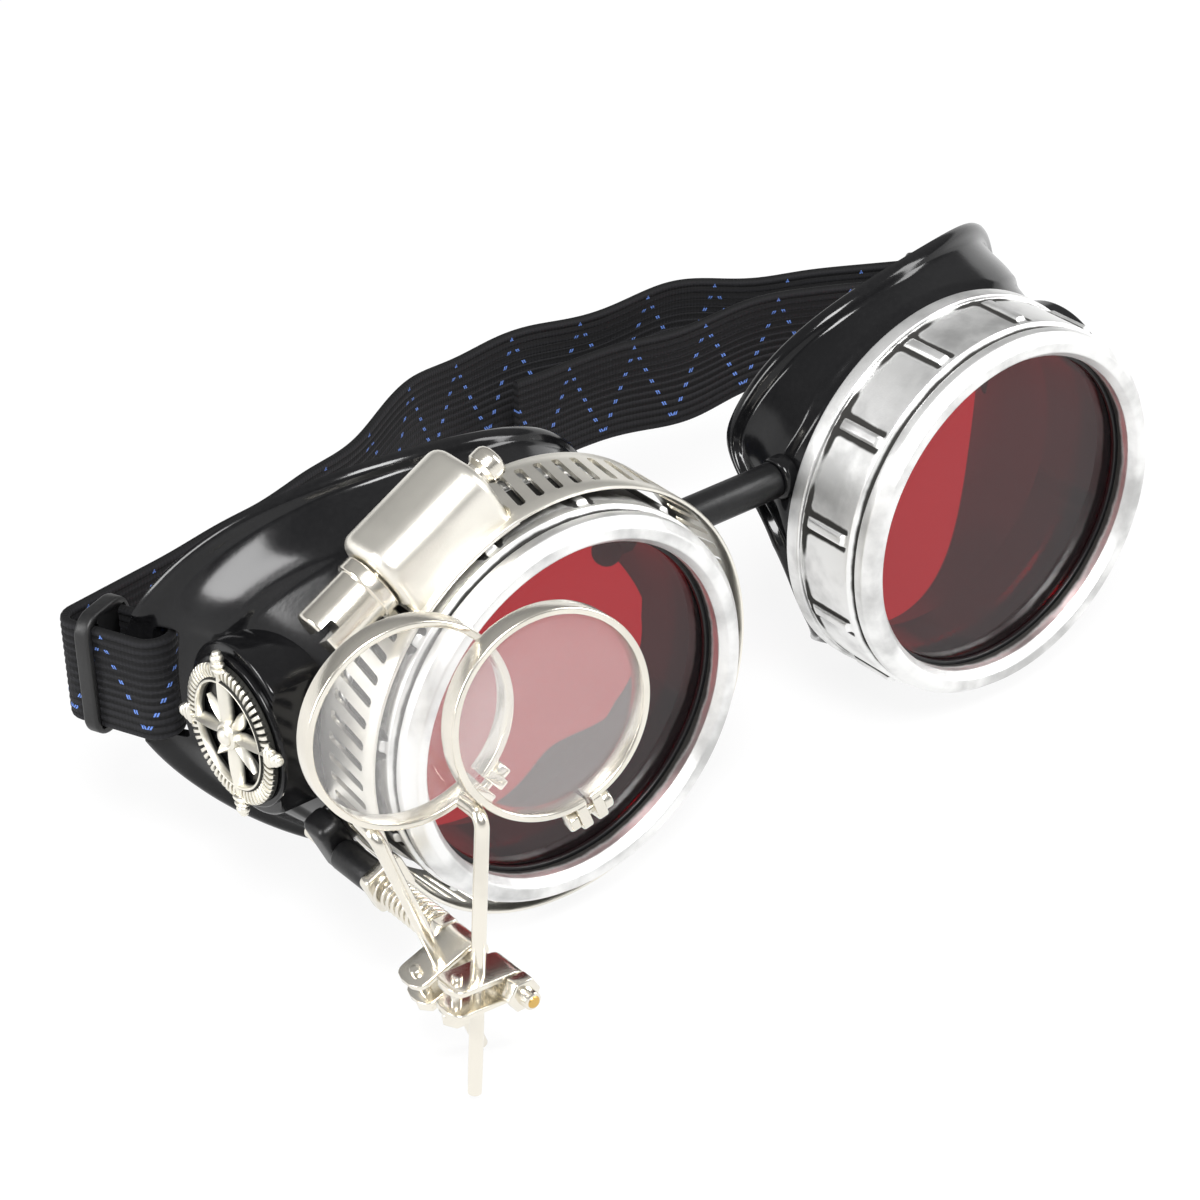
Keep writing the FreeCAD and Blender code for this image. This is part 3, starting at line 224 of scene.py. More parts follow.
def rounded(points: Sequence[Vec], radii: Union[float, Sequence[float]], steps: int = 6,
            closed: bool = False) -> Array:
    """A flat line whose corners are tangent arcs.

    Each corner is trimmed by radius times the tangent of half its turn, or by almost half of its
    shorter run, and an arc of that trim joins the two ends.

    Args:
        points: Corners, each a pair.
        radii: One radius for all corners, or one for each of them.
        steps: Spans in each arc.
        closed: Whether the line closes on itself.

    Returns:
        The points of the line, N by 2.
    """
    corners = np.asarray(points, float)
    count = len(corners)
    sizes = np.broadcast_to(np.asarray(radii, float), (count,))
    line = []
    for index in range(count):
        here = corners[index]
        if not closed and index in (0, count - 1):
            line.append(here[None])
            continue
        into, out = here - corners[index - 1], corners[(index + 1) % count] - here
        reach = 0.499 * min(np.linalg.norm(into), np.linalg.norm(out))
        into, out = into / np.linalg.norm(into), out / np.linalg.norm(out)
        half = 0.5 * math.acos(float(np.clip(into @ out, -1, 1)))
        if half < 1e-4 or sizes[index] <= 0:
            line.append(here[None])
            continue
        trim = min(sizes[index] * math.tan(half), reach)
        radius = trim / math.tan(half)
        side = np.sign(into[0] * out[1] - into[1] * out[0])
        normal = side * np.array([-into[1], into[0]])
        angle = np.linspace(0, 2 * half, steps + 1)[:, None]
        line.append(here - into * trim + radius * (np.sin(angle) * into + (1 - np.cos(angle)) * normal))
    return np.concatenate(line)


def turned(profile: Array, count: int = 96,
           swell: Optional[Callable[[Array, Array, Array], Array]] = None) -> Array:
    """A profile of radius and depth carried round the Y axis.

    Args:
        profile: Pairs of radius and depth.
        count: Steps round the axis.
        swell: Radius to add, as a function of angle, radius and depth.

    Returns:
        A grid of points, rows along the profile.
    """
    radius, depth = profile[:, 0, None], profile[:, 1, None]
    angle = np.linspace(0, TURN, count, endpoint=False)[None]
    if swell is not None:
        radius = radius + swell(angle, radius, depth)
    depth = np.broadcast_to(depth, np.broadcast_shapes(radius.shape, angle.shape))
    return np.stack([radius * np.cos(angle), depth, radius * np.sin(angle)], axis=-1)


def spun(profile: Sequence[Vec], edge: Union[float, Sequence[float]] = 0.2, count: int = 64) -> Surface:
    """A solid turned about the Y axis, closed on the axis at both ends.

    Args:
        profile: Corners as radius and depth.
        edge: Rounding of all corners, or of each.
        count: Steps round the axis.

    Returns:
        The surface.
    """
    line = rounded(profile, edge, 4)
    line[:, 0] = np.maximum(line[:, 0], 0.01)
    return lattice(turned(line, count), lids=True)


def pipe(inner: float, outer: float, low: float, high: float, edge: float, count: int = 128) -> Surface:
    """A plain pipe about the Y axis between two radii and two depths, with rounded edges."""
    line = rounded([(inner, low), (outer, low), (outer, high), (inner, high)], edge, 4, closed=True)
    return lattice(turned(line, count), wrap_rows=True)


def miter(line: Array) -> Array:
    """Outward corner vectors of a closed outline.

    Each is the sum of the two sides' normals over one plus their product, which keeps the sides
    parallel when the outline is offset.

    Args:
        line: The outline, N by 2, anticlockwise.

    Returns:
        One vector for each corner.
    """
    run = np.roll(line, -1, 0) - line
    run = run / np.linalg.norm(run, axis=1, keepdims=True)
    out = np.stack([run[:, 1], -run[:, 0]], axis=1)
    before = np.roll(out, 1, 0)
    return (out + before) / (1 + (out * before).sum(1, keepdims=True))


def prism(outline: Array, low: float, high: float, edge: float = 0.25, steps: int = 3) -> Surface:
    """An outline in X and Y carried along Z, its two rims rounded by a quarter circle.

    Args:
        outline: The outline, N by 2, anticlockwise.
        low: Where it starts.
        high: Where it ends.
        edge: Radius of the rims.
        steps: Spans in each quarter circle.

    Returns:
        The surface.
    """
    angle = np.linspace(0, math.pi / 2, steps + 1)
    inset = edge * (1 - np.sin(angle))
    height = edge * (1 - np.cos(angle))
    insets = np.concatenate([inset, inset[::-1]])
    heights = np.concatenate([low + height, high - height[::-1]])
    out = miter(outline)
    flat = outline[None] - insets[:, None, None] * out[None]
    up = np.broadcast_to(heights[:, None, None], flat.shape[:2] + (1,))
    return lattice(np.concatenate([flat, up], axis=-1), lids=True)


def oblong(width: float, height: float, corner: float, steps: int = 5, centre: Vec = (0, 0)) -> Array:
    """A rectangle with rounded corners.

    Args:
        width: Its side along X.
        height: Its side along Y.
        corner: Radius of its corners.
        steps: Spans in each corner.
        centre: Its middle.

    Returns:
        An outline that runs anticlockwise.
    """
    x, y = width / 2, height / 2
    corners = [(-x, -y), (x, -y), (x, y), (-x, y)]
    return rounded(corners, corner, steps, closed=True) + np.asarray(centre, float)


def block(size: Vec, centre: Vec = (0, 0, 0), corner: float = 0.5, edge: float = 0.3) -> Surface:
    """A block with rounded upright corners and rims, centred on a point."""
    body = prism(oblong(size[0], size[1], corner), -size[2] / 2, size[2] / 2, edge)
    return body.placed(Place(np.asarray(centre, float)))


def hexagon(flats: float, low: float, high: float, edge: float = 0.22) -> Surface:
    """A hexagonal prism along Z with softened corners.

    Args:
        flats: Size across its flats.
        low: Where it starts.
        high: Where it ends.
        edge: Rounding of its two rims.

    Returns:
        The surface.
    """
    angle = np.arange(6) * TURN / 6
    corners = np.stack([np.cos(angle), np.sin(angle)], axis=1) * flats / math.sqrt(3)
    return prism(rounded(corners, 0.25, 2, closed=True), low, high, edge)


def swept(path: Array, radius: float, side: Vec, count: int = 18, tip: float = 0.3) -> Surface:
    """A round wire along a path, with its ends rounded off.

    Args:
        path: Points of its middle line.
        radius: Its radius.
        side: A direction that the path never follows, which fixes the section's turn.
        count: Steps round the wire.
        tip: Rounding of its two ends.

    Returns:
        The surface.
    """
    along = np.gradient(path, axis=0)
    along /= np.linalg.norm(along, axis=1, keepdims=True)
    swell = np.full(len(path), radius)
    angle = np.linspace(0, math.pi / 2, 4)[:-1]
    lead = radius - tip + tip * np.sin(angle)
    back = tip * np.cos(angle)
    first = path[0] - along[0] * back[:, None] + along[0] * tip
    last = path[-1] + along[-1] * back[::-1, None] - along[-1] * tip
    path = np.concatenate([first, path[1:-1], last])
    swell = np.concatenate([lead, swell[1:-1], lead[::-1]])
    along = np.concatenate([np.repeat(along[:1], 3, 0), along[1:-1], np.repeat(along[-1:], 3, 0)])
    across = np.cross(along, np.asarray(side, float))
    across /= np.linalg.norm(across, axis=1, keepdims=True)
    other = np.cross(along, across)
    angle = np.linspace(0, TURN, count, endpoint=False)
    offset = np.cos(angle)[None, :, None] * across[:, None] + np.sin(angle)[None, :, None] * other[:, None]
    return lattice(path[:, None] + swell[:, None, None] * offset, lids=True)


def ribbon(line: Array, thick: float, half: Union[float, Array], edge: float = 0.15) -> Surface:
    """A flat strip along a line in X and Z, as wide along Y, with softened edges.

    Args:
        line: Points of its middle line, N by 2.
        thick: Its thickness across the line.
        half: Half of its width, one number or one for each point.
        edge: Rounding of its four long edges.

    Returns:
        The surface.
    """
    along = np.gradient(line, axis=0)
    along /= np.linalg.norm(along, axis=1, keepdims=True)
    normal = np.stack([-along[:, 1], along[:, 0]], axis=1)
    angle = np.linspace(0, math.pi / 2, 4)
    quarter = np.concatenate([angle + k * math.pi / 2 for k in range(4)])
    corner_x = np.repeat([1, -1, -1, 1], 4)
    corner_y = np.repeat([1, 1, -1, -1], 4)
    out = corner_x * (thick / 2 - edge) + edge * np.cos(quarter)
    wide = np.broadcast_to(np.asarray(half, float), (len(line),))
    across = corner_y[None] * (wide[:, None] - edge) + edge * np.sin(quarter)[None]
    flat = line[:, None] + out[None, :, None] * normal[:, None]
    return lattice(np.stack([flat[..., 0], across, flat[..., 1]], axis=-1), lids=True)


def ball(radius: Vec, centre: Vec = (0, 0, 0), count: int = 24) -> Surface:
    """An ellipsoid with its poles on Z.

    Args:
        radius: Its three half axes.
        centre: Its middle.
        count: Steps round its equator.

    Returns:
        The surface.
    """
    polar = np.linspace(0.02, math.pi - 0.02, count // 2)[:, None]
    angle = np.linspace(0, TURN, count, endpoint=False)[None]
    wide, high = np.sin(polar), np.cos(polar)
    grid = np.stack([wide * np.cos(angle), wide * np.sin(angle), high + 0 * angle], axis=-1)
    return lattice(grid * np.asarray(radius, float) + np.asarray(centre, float), lids=True)


def step(low: float, high: float, value: Array) -> Array:
    """Smooth rise from 0 to 1 between two values."""
    share = np.clip((value - low) / (high - low), 0, 1)
    return share * share * (3 - 2 * share)


Link = Union["Value", float, int]


class Graph:
    """Node tree of one material or of the world."""

    def __init__(self, tree: bpy.types.NodeTree) -> None:
        """Start from an empty tree."""
        self.tree = tree
        tree.nodes.clear()

    def node(self, kind: str, settings: Optional[dict] = None, **inputs: object) -> bpy.types.Node:
        """Add a node.

        Args:
            kind: Blender's name of the node type.
            settings: Properties to set before its sockets.
            inputs: Values or links by socket name, with _ for a space, or by number after an n.

        Returns:
            The node.
        """
        made = self.tree.nodes.new(kind)
        for name, setting in (settings or {}).items():
            setattr(made, name, setting)
        for name, given in inputs.items():
            key = int(name[1:]) if name[0] == "n" and name[1:].isdigit() else name.replace("_", " ")
            socket = made.inputs[key]
            if isinstance(given, Value):
                self.tree.links.new(given.socket, socket)
            elif isinstance(given, bpy.types.NodeSocket):
                self.tree.links.new(given, socket)
            else:
                socket.default_value = given
        return made

    def maths(self, operation: str, *numbers: Link) -> "Value":
        """A Math node on one to three values."""
        inputs = {f"n{index}": number for index, number in enumerate(numbers)}
        return Value(self, self.node("ShaderNodeMath", {"operation": operation}, **inputs).outputs[0])

    def noise(self, where: bpy.types.NodeSocket, scale: float, detail: float = 3.0) -> "Value":
        """Value of a noise texture, from 0 to 1."""
        made = self.node("ShaderNodeTexNoise", None, Vector=where, Scale=scale, Detail=detail)
        return Value(self, made.outputs["Fac"])

    def fit(self, value: "Value", low: float, high: float, start: float = 0.0, end: float = 1.0) -> "Value":
        """The value moved from one range to another with soft ends."""
        made = self.node(
            "ShaderNodeMapRange", {"interpolation_type": "SMOOTHSTEP"},
            n0=value, n1=low, n2=high, n3=start, n4=end,
        )
        return Value(self, made.outputs[0])

    def mix(self, share: Link, first: object, second: object) -> bpy.types.NodeSocket:
        """A colour between two colours."""
        made = self.node("ShaderNodeMix", {"data_type": "RGBA"}, n0=share, n6=first, n7=second)
        return made.outputs[2]

    def bump(self, height: "Value", strength: float, distance: float) -> bpy.types.NodeSocket:
        """A normal from a height."""
        made = self.node("ShaderNodeBump", None, Strength=strength, Distance=distance, Height=height)
        return made.outputs[0]

    def object_place(self) -> bpy.types.NodeSocket:
        """Object coordinates in metres."""
        return self.node("ShaderNodeTexCoord").outputs["Object"]

    def worn(self) -> "Value":
        """The piece's own patina value, with painted shade where the piece marks it."""
        # The attribute holds patina, and painted shade where the piece marks it.
        made = self.node("ShaderNodeAttribute", {"attribute_name": "wear"})
        return Value(self, made.outputs["Fac"])

    def close(self, shader: bpy.types.NodeSocket) -> None:
        """Lead the last shader to the output."""
        owner = "World" if self.tree.id_data.bl_rna.identifier == "World" else "Material"
        self.node(f"ShaderNodeOutput{owner}", None, Surface=shader)


class Value:
    """A shader number that takes part in Python expressions."""

    def __init__(self, graph: Graph, socket: bpy.types.NodeSocket) -> None:
        """Keep the graph and the socket."""
        self.graph = graph
        self.socket = socket

    def __add__(self, other: Link) -> "Value":
        """Sum."""
        return self.graph.maths("ADD", self, other)

    __radd__ = __add__

    def __mul__(self, other: Link) -> "Value":
        """Product."""
        return self.graph.maths("MULTIPLY", self, other)

    __rmul__ = __mul__

    def __sub__(self, other: Link) -> "Value":
        """Difference."""
        return self.graph.maths("SUBTRACT", self, other)

    def __rsub__(self, other: Link) -> "Value":
        """Difference from a number."""
        return self.graph.maths("SUBTRACT", other, self)

    def __truediv__(self, other: Link) -> "Value":
        """Quotient."""
        return self.graph.maths("DIVIDE", self, other)

    def __mod__(self, other: Link) -> "Value":
        """Remainder."""
        return self.graph.maths("FLOORED_MODULO", self, other)

    def __abs__(self) -> "Value":
        """Size without sign."""
        return self.graph.maths("ABSOLUTE", self)

    def below(self, other: Link) -> "Value":
        """1 where it is less than the other, else 0."""
        return self.graph.maths("LESS_THAN", self, other)


def rgb(red: float, green: float, blue: float) -> tuple[float, float, float, float]:
    """An opaque colour."""
    return (red, green, blue, 1.0)


@dataclass(frozen=True)
class Finish:
    """A finish by name; each kind builds its own nodes once."""

    name: str
    slot: str

    def shade(self, graph: Graph) -> bpy.types.NodeSocket:
        """Build the nodes and return the last shader."""
        raise NotImplementedError

    def material(self) -> bpy.types.Material:
        """Make the Blender material on first use.

        Returns:
            The material, the same one for each piece.
        """
        found = bpy.data.materials.get(self.name)
        if found is None:
            found = bpy.data.materials.new(self.name)
            found.use_nodes = True
            graph = Graph(found.node_tree)
            graph.close(self.shade(graph))
        return found


@dataclass(frozen=True)
class Metal(Finish):
    """Bright metal with dark patina where the piece says that it is recessed, painted shade where the piece
    marks it, and a fine uneven polish.
    """

    bright: tuple = rgb(0.8, 0.79, 0.77)
    dark: tuple = rgb(0.03, 0.029, 0.027)
    rough: float = 0.16
    patina: float = 1.0
    mottle: float = 0.1
    grain: float = 900.0

    def shade(self, graph: Graph) -> bpy.types.NodeSocket:
        """Mix bright metal and patina by the piece's patina and painted shade, and by noise.

        Args:
            graph: The material's node tree.

        Returns:
            The last shader.
        """
        where = graph.object_place()
        cloud = graph.noise(where, self.grain * 0.35, 4.0)
        fine = graph.noise(where, self.grain * 4.0, 2.0)
        smear = graph.noise(where, self.grain * 0.12, 5.0)
        # The piece's own value darkens the metal: real patina, and painted shade where the piece marks it.
        stain_and_shade = graph.worn() * self.patina + cloud * 0.5 + smear * self.mottle - 0.25 - self.mottle * 0.5
        stain_and_shade = graph.fit(stain_and_shade, 0.3, 0.75)
        dull = rgb(*((1 - self.mottle) * part for part in self.bright[:3]))
        tint = graph.mix(graph.fit(smear, 0.42, 0.7), self.bright, dull)
        colour = graph.mix(stain_and_shade, tint, self.dark)
        rough = self.rough + cloud * 0.1 + smear * self.mottle * 0.3 + stain_and_shade * 0.3
        shader = graph.node(
            "ShaderNodeBsdfPrincipled", None, Base_Color=colour, Metallic=1 - stain_and_shade * 0.5, Roughness=rough,
            Normal=graph.bump(fine * 0.6 + cloud, 0.12, 0.0002),
        )
        return shader.outputs[0]


@dataclass(frozen=True)
class Moulding(Finish):
    """Moulded black plastic or rubber with a faint skin texture and a little dust."""

    colour: tuple = rgb(0.004, 0.004, 0.0045)
    haze: tuple = rgb(0.009, 0.009, 0.0095)
    rough: float = 0.2
    grain: float = 1400.0
    relief: float = 0.1
    specular: float = 0.5

    def shade(self, graph: Graph) -> bpy.types.NodeSocket:
        """Vary colour and gloss with two sizes of noise.

        Args:
            graph: The material's node tree.

        Returns:
            The last shader.
        """
        where = graph.object_place()
        broad = graph.noise(where, 60.0, 3.0)
        fine = graph.noise(where, self.grain, 3.0)
        colour = graph.mix(graph.fit(broad * 0.7 + fine * 0.3, 0.35, 0.75), self.colour, self.haze)
        shader = graph.node(
            "ShaderNodeBsdfPrincipled", None, Base_Color=colour,
            Roughness=self.rough + broad * 0.08 + fine * 0.04,
            Normal=graph.bump(fine, self.relief, 0.0002), Specular_IOR_Level=self.specular,
        )
        return shader.outputs[0]


@dataclass(frozen=True)
class Glass(Finish):
    """Tinted see-through glass: a coloured clear layer under a polished face, with a faint haze."""

    tint: tuple = rgb(0.9, 0.9, 0.9)
    haze: tuple = rgb(0.9, 0.9, 0.9)
    cloud: float = 0.1
    polish: float = 0.04

    def shade(self, graph: Graph) -> bpy.types.NodeSocket:
        """Clear tint, a little surface haze by noise, and a mirror face that grows towards grazing light.

        Args:
            graph: The material's node tree.

        Returns:
            The last shader.
        """
        where = graph.object_place()
        clear = graph.node("ShaderNodeBsdfTransparent", None, Color=self.tint)
        smear = graph.noise(where, 120.0, 3.0)
        film = graph.node("ShaderNodeBsdfPrincipled", None, Base_Color=self.haze, Roughness=0.25)
        veil = graph.node(
            "ShaderNodeMixShader", None, n0=self.cloud * 0.85 + smear * (self.cloud * 0.3),
            n1=clear.outputs[0], n2=film.outputs[0],
        )
        gloss = graph.node("ShaderNodeBsdfGlossy", None, Color=rgb(1, 1, 1), Roughness=0.02)
        aside = Value(graph, graph.node("ShaderNodeLayerWeight", None, Blend=0.5).outputs["Facing"])
        mirror = self.polish + (1 - self.polish) * graph.maths("POWER", aside, 5.0)
        face = graph.node("ShaderNodeMixShader", None, n0=mirror, n1=veil.outputs[0], n2=gloss.outputs[0])
        return face.outputs[0]


@dataclass(frozen=True)
class Webbing(Finish):
    """Ribbed elastic: fine cross threads on the ribs, a painted highlight along the rib crests, and a dashed
    zigzag stitch in a second colour.
    """

    yarn: tuple = rgb(0.002, 0.002, 0.0025)
    # Painted highlight colour: the rib crests are mixed towards it.
    light: tuple = rgb(0.012, 0.012, 0.014)
    thread: tuple = rgb(0.1, 0.19, 0.52)
    half_wave: float = 5.6
    width: float = 15.0

    def shade(self, graph: Graph) -> bpy.types.NodeSocket:
        """Work out rows and stitches from the map, which is in millimetres along and across.

        Args:
            graph: The material's node tree.

        Returns:
            The last shader.
        """
        made = graph.node("ShaderNodeUVMap", {"uv_map": "weave"})
        parts = graph.node("ShaderNodeSeparateXYZ", None, n0=made.outputs[0])
        along, across = Value(graph, parts.outputs[0]), Value(graph, parts.outputs[1])
        saw = abs((along / self.half_wave) % 2 - 1)
        line = saw * (self.width - 2.4) + 1.2
        off = abs(line - across)
        dash = ((across + 0.2) % 2.0).below(0.55)
        stitch = off.below(0.62) * dash * (1 - off.below(0.13))
        threads = graph.maths("SINE", along * 12.0) * 0.5 + 0.5
        ribs = abs(graph.maths("SINE", across * (math.pi / 1.15)))
        fuzz = graph.noise(graph.object_place(), 2600.0, 2.0)
        # Painted highlight: the rib crests are made lighter in colour, with some random thread and fuzz tone.
        painted_rib_highlight_and_fuzz = graph.fit(ribs * 0.75 + threads * 0.08 + fuzz * 0.3, 0.45, 1.05)
        cloth = graph.mix(painted_rib_highlight_and_fuzz, self.yarn, self.light)
        shader = graph.node(
            "ShaderNodeBsdfPrincipled", None, Base_Color=graph.mix(stitch, cloth, self.thread),
            Roughness=0.66 + fuzz * 0.2, Sheen_Weight=0.02, Sheen_Roughness=0.4, Specular_IOR_Level=0.25,
            Normal=graph.bump(threads * 0.25 + fuzz * 0.3 + stitch * 1.2 + ribs * 0.6, 0.5, 0.0002),
        )
        return shader.outputs[0]


SILVER = Metal("antique silver", "antique_silver", bright=rgb(0.94, 0.94, 0.93), rough=0.34, mottle=0.42)
PEWTER = Metal("worn pewter", "antique_silver", bright=rgb(0.9, 0.87, 0.78),
               dark=rgb(0.02, 0.02, 0.017), rough=0.3)
NICKEL = Metal("warm nickel", "nickel", bright=rgb(0.87, 0.83, 0.74),
               dark=rgb(0.08, 0.07, 0.055), rough=0.15, patina=0.8)
SATIN = Metal("satin nickel", "nickel", bright=rgb(0.91, 0.88, 0.8),
              dark=rgb(0.08, 0.07, 0.055), rough=0.27, patina=0.8)
BRASS = Metal("brass tip", "nickel", bright=rgb(0.72, 0.47, 0.15),
              dark=rgb(0.1, 0.06, 0.02), rough=0.25, patina=0.5)
CUP_BLACK = Moulding("moulded cup", "cup_black", rough=0.08, relief=0.03, specular=0.3)
RUBBER = Moulding("black rubber", "black_rubber", rough=0.3, relief=0.2, specular=0.35)
CORD = Moulding("braided cord", "cord_black", rough=0.75, relief=0.6, grain=2500.0)
BUCKLE = Moulding("slider plastic", "slider_plastic", rough=0.36, haze=rgb(0.014, 0.014, 0.014), specular=0.4)
RED_GLASS = Glass("red lens", "red_glass", tint=rgb(0.62, 0.055, 0.1), haze=rgb(0.3, 0.25, 0.27), cloud=0.025)
CLEAR_GLASS = Glass("loupe glass", "clear_glass", tint=rgb(0.97, 0.97, 0.97),
                    haze=rgb(0.9, 0.88, 0.87), cloud=0.075)
ELASTIC = Webbing("ribbed elastic", "strap_fabric")


def new_mesh(name: str, shape: Surface) -> bpy.types.Mesh:
    """Make a mesh of a surface, in metres, with its faces turned outward.

    Args:
        name: Name of the mesh.
        shape: The surface in the part's frame, in millimetres.

    Returns:
        The mesh.
    """
    mesh = bpy.data.meshes.new(name)
    mesh.from_pydata((shape.points * MM).tolist(), [], shape.faces)
    build = bmesh.new()
    build.from_mesh(mesh)
    bmesh.ops.recalc_face_normals(build, faces=build.faces)
    build.to_mesh(mesh)
    build.free()
    return mesh


def add_object(name: str, data: bpy.types.ID) -> bpy.types.Object:
    """Add an object to the scene.

    Args:
        name: Name of the object.
        data: Its mesh, lamp or camera.

    Returns:
        The object.
    """
    made = bpy.data.objects.new(name, data)
    bpy.context.scene.collection.objects.link(made)
    return made


def make_piece(name: str, shape: Surface, finish: Finish, body: str, *nodes: str,
               crease: float = 38.0) -> bpy.types.Object:
    """Turn a surface into a dressed piece that rides on a body.

    Args:
        name: Name of the piece.
        shape: Its surface in the part's frame, in millimetres.
        finish: Its finish.
        body: The body that it rides on.
        nodes: The nodes that it stands for.
        crease: Angle in degrees past which an edge stays sharp.

    Returns:
        The Blender object.
    """
    mesh = new_mesh(name, shape)
    corners = np.empty(len(mesh.loops), np.int32)
    mesh.loops.foreach_get("vertex_index", corners)
    if shape.uv is not None:
        layer = mesh.uv_layers.new(name="weave")
        layer.data.foreach_set("uv", shape.uv[corners].astype(np.float32).ravel())
    # The point attribute carries patina, and painted shade where a piece marks it.
    wear = np.zeros(len(mesh.vertices)) if shape.wear is None else shape.wear
    mesh.attributes.new("wear", "FLOAT", "POINT").data.foreach_set("value", wear.astype(np.float32))
    mesh.polygons.foreach_set("use_smooth", np.ones(len(mesh.polygons), bool))
    mesh.set_sharp_from_angle(angle=math.radians(crease))
    mesh.materials.append(finish.material())
    piece = add_object(name, mesh)
    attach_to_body(piece, body)
    if nodes:
        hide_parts(*nodes)
    LOG.info("%s: %d points on %s", name, len(mesh.vertices), body)
    return piece


def carve(piece: bpy.types.Object, *tools: Surface) -> None:
    """Take tools away from a piece's mesh for good.

    Args:
        piece: The piece to cut.
        tools: Closed surfaces in the part's frame, in millimetres.
    """
    for number, tool in enumerate(tools):
        mesh = new_mesh(f"{piece.name}_tool{number}", tool)
        cutter = add_object(mesh.name, mesh)
        change = piece.modifiers.new("carve", "BOOLEAN")
        change.object = cutter
        change.operation = "DIFFERENCE"
        change.solver = "EXACT"
        bpy.context.view_layer.update()
        graph = bpy.context.evaluated_depsgraph_get()
        cut = bpy.data.meshes.new_from_object(piece.evaluated_get(graph))
        piece.modifiers.remove(change)
        old = piece.data
        label = old.name
        piece.data = cut
        bpy.data.meshes.remove(old)
        cut.name = label
        bpy.data.objects.remove(cutter)
        bpy.data.meshes.remove(mesh)


@dataclass
class LensCap:
    """Screw-on ring with its lens and gasket."""

    side: Side
    ribs: int = 12
    first_rib: float = 20.0
    rib_half: float = 0.8
    rib_rise: float = 0.6
    rib_front: float = 3.6
    rib_rear: float = 9.8
    skirt_r: float = 26.9
    opening_r: float = 23.0
    columns: int = 720

    def rib_away(self, angle: Array) -> Array:
        """Distance along the skirt to the middle of the nearest rib: the angle's remainder by the pitch."""
        pitch = TURN / self.ribs
        return np.abs((angle - math.radians(self.first_rib) + pitch / 2) % pitch - pitch / 2) * self.skirt_r

    def swell(self, angle: Array, radius: Array, depth: Array) -> Array:
        """Height of the ribs on the skirt: a stepped distance to the rib, run out at both ends.

        Args:
            angle: Angles round the cap.
            radius: Radii of the profile.
            depth: Depths of the profile.

        Returns:
            Radius to add.
        """
        skirt = (radius > 26.7) & (radius < 27.2) & (depth > 2.5)
        run = step(self.rib_front - 0.25, self.rib_front + 0.2, depth)
        run = run * (1 - step(self.rib_rear, 11.0, depth))
        share = 1 - step(self.rib_half - 0.22, self.rib_half + 0.12, self.rib_away(angle))
        return self.rib_rise * share * run * skirt

    def wear(self, radius: Array, depth: Array) -> Array:
        """Where the patina lies, by the ribs, in the groove and in the opening, and painted shade on the
        right cap's skirt under the clamp band.

        Args:
            radius: Radii of the profile, one column.
            depth: Depths of the profile, one column.

        Returns:
            Patina and painted shade from 0 to 1, rows along the profile.
        """
        away = self.rib_away(np.linspace(0, TURN, self.columns, endpoint=False)[None])
        skirt = step(2.7, 3.0, depth) * (1 - step(11.3, 11.7, depth)) * (radius > 26.7)
        beside = step(0.7, 0.95, away) * (1 - step(1.1, 2.3, away)) * skirt
        ends = skirt * step(9.9, 11.0, depth) * (1 - step(3.0, 6.5, away) * 0.6)
        inner = (depth > 0.35) * (radius < self.opening_r + 0.3) * 0.9
        groove = (np.abs(depth - 2.0) < 0.75) * step(26.55, 26.2, radius) * 0.8
        # Painted shade: the right cap's skirt goes dark where it lies under the clamp band.
        painted_shade_under_band = skirt * (self.side is Side.RIGHT) * step(3.4, 4.4, depth)
        return np.clip(beside + ends + inner + groove + painted_shade_under_band, 0, 1)

    def build(self) -> None:
        """Make the cap, the gasket and the lens."""
        bezel = [(self.opening_r, 2.0), (self.opening_r, 0.0), (23.9, -1.3), (25.3, -1.3),
                 (26.5, 0.2), (26.5, 1.4), (26.0, 2.0)]
        rows = (2.6, 3.3, 3.45, 3.6, 3.75, 3.9, 7.5, 9.8, 10.2, 10.6, 11.0, 11.6)
        rim = [(27.5, 11.6), (27.5, 14.0), (25.9, 14.0), (25.9, 2.0)]
        edges = [0.1, 0.3, 0.6, 0.6, 0.6, 0.3, 0.2, 0.3] + [0] * (len(rows) - 2) + [0.12, 0.3, 0.35, 0.2, 0.1]
        profile = rounded([*bezel, *((self.skirt_r, row) for row in rows), *rim], edges, 5, closed=True)
        grid = turned(profile, self.columns, swell=self.swell)
        wear = self.wear(profile[:, 0, None], profile[:, 1, None])
        name = self.side.word
        place = cup_place(self.side)
        make_piece(f"{name}_cap_ring", lattice(grid, wrap_rows=True, wear=wear).placed(place), SILVER,
                   f"{name}_cap_ring", f"{name}_cap")
        seal = pipe(22.5, 25.8, 2.05, 2.75, 0.2)
        make_piece(f"{name}_seal", seal.placed(place), RUBBER, f"{name}_lens_set", f"{name}_gasket")
        radii = (0, 10, 20, 25.0)
        pane = [(radius, 2.8) for radius in radii] + [(radius, 5.0) for radius in radii[::-1]]
        pane = spun(pane, [0, 0, 0, 0.3, 0.3, 0, 0, 0], 160)
        make_piece(f"{name}_pane", pane.placed(place), RED_GLASS, f"{name}_lens_set", f"{name}_lens")


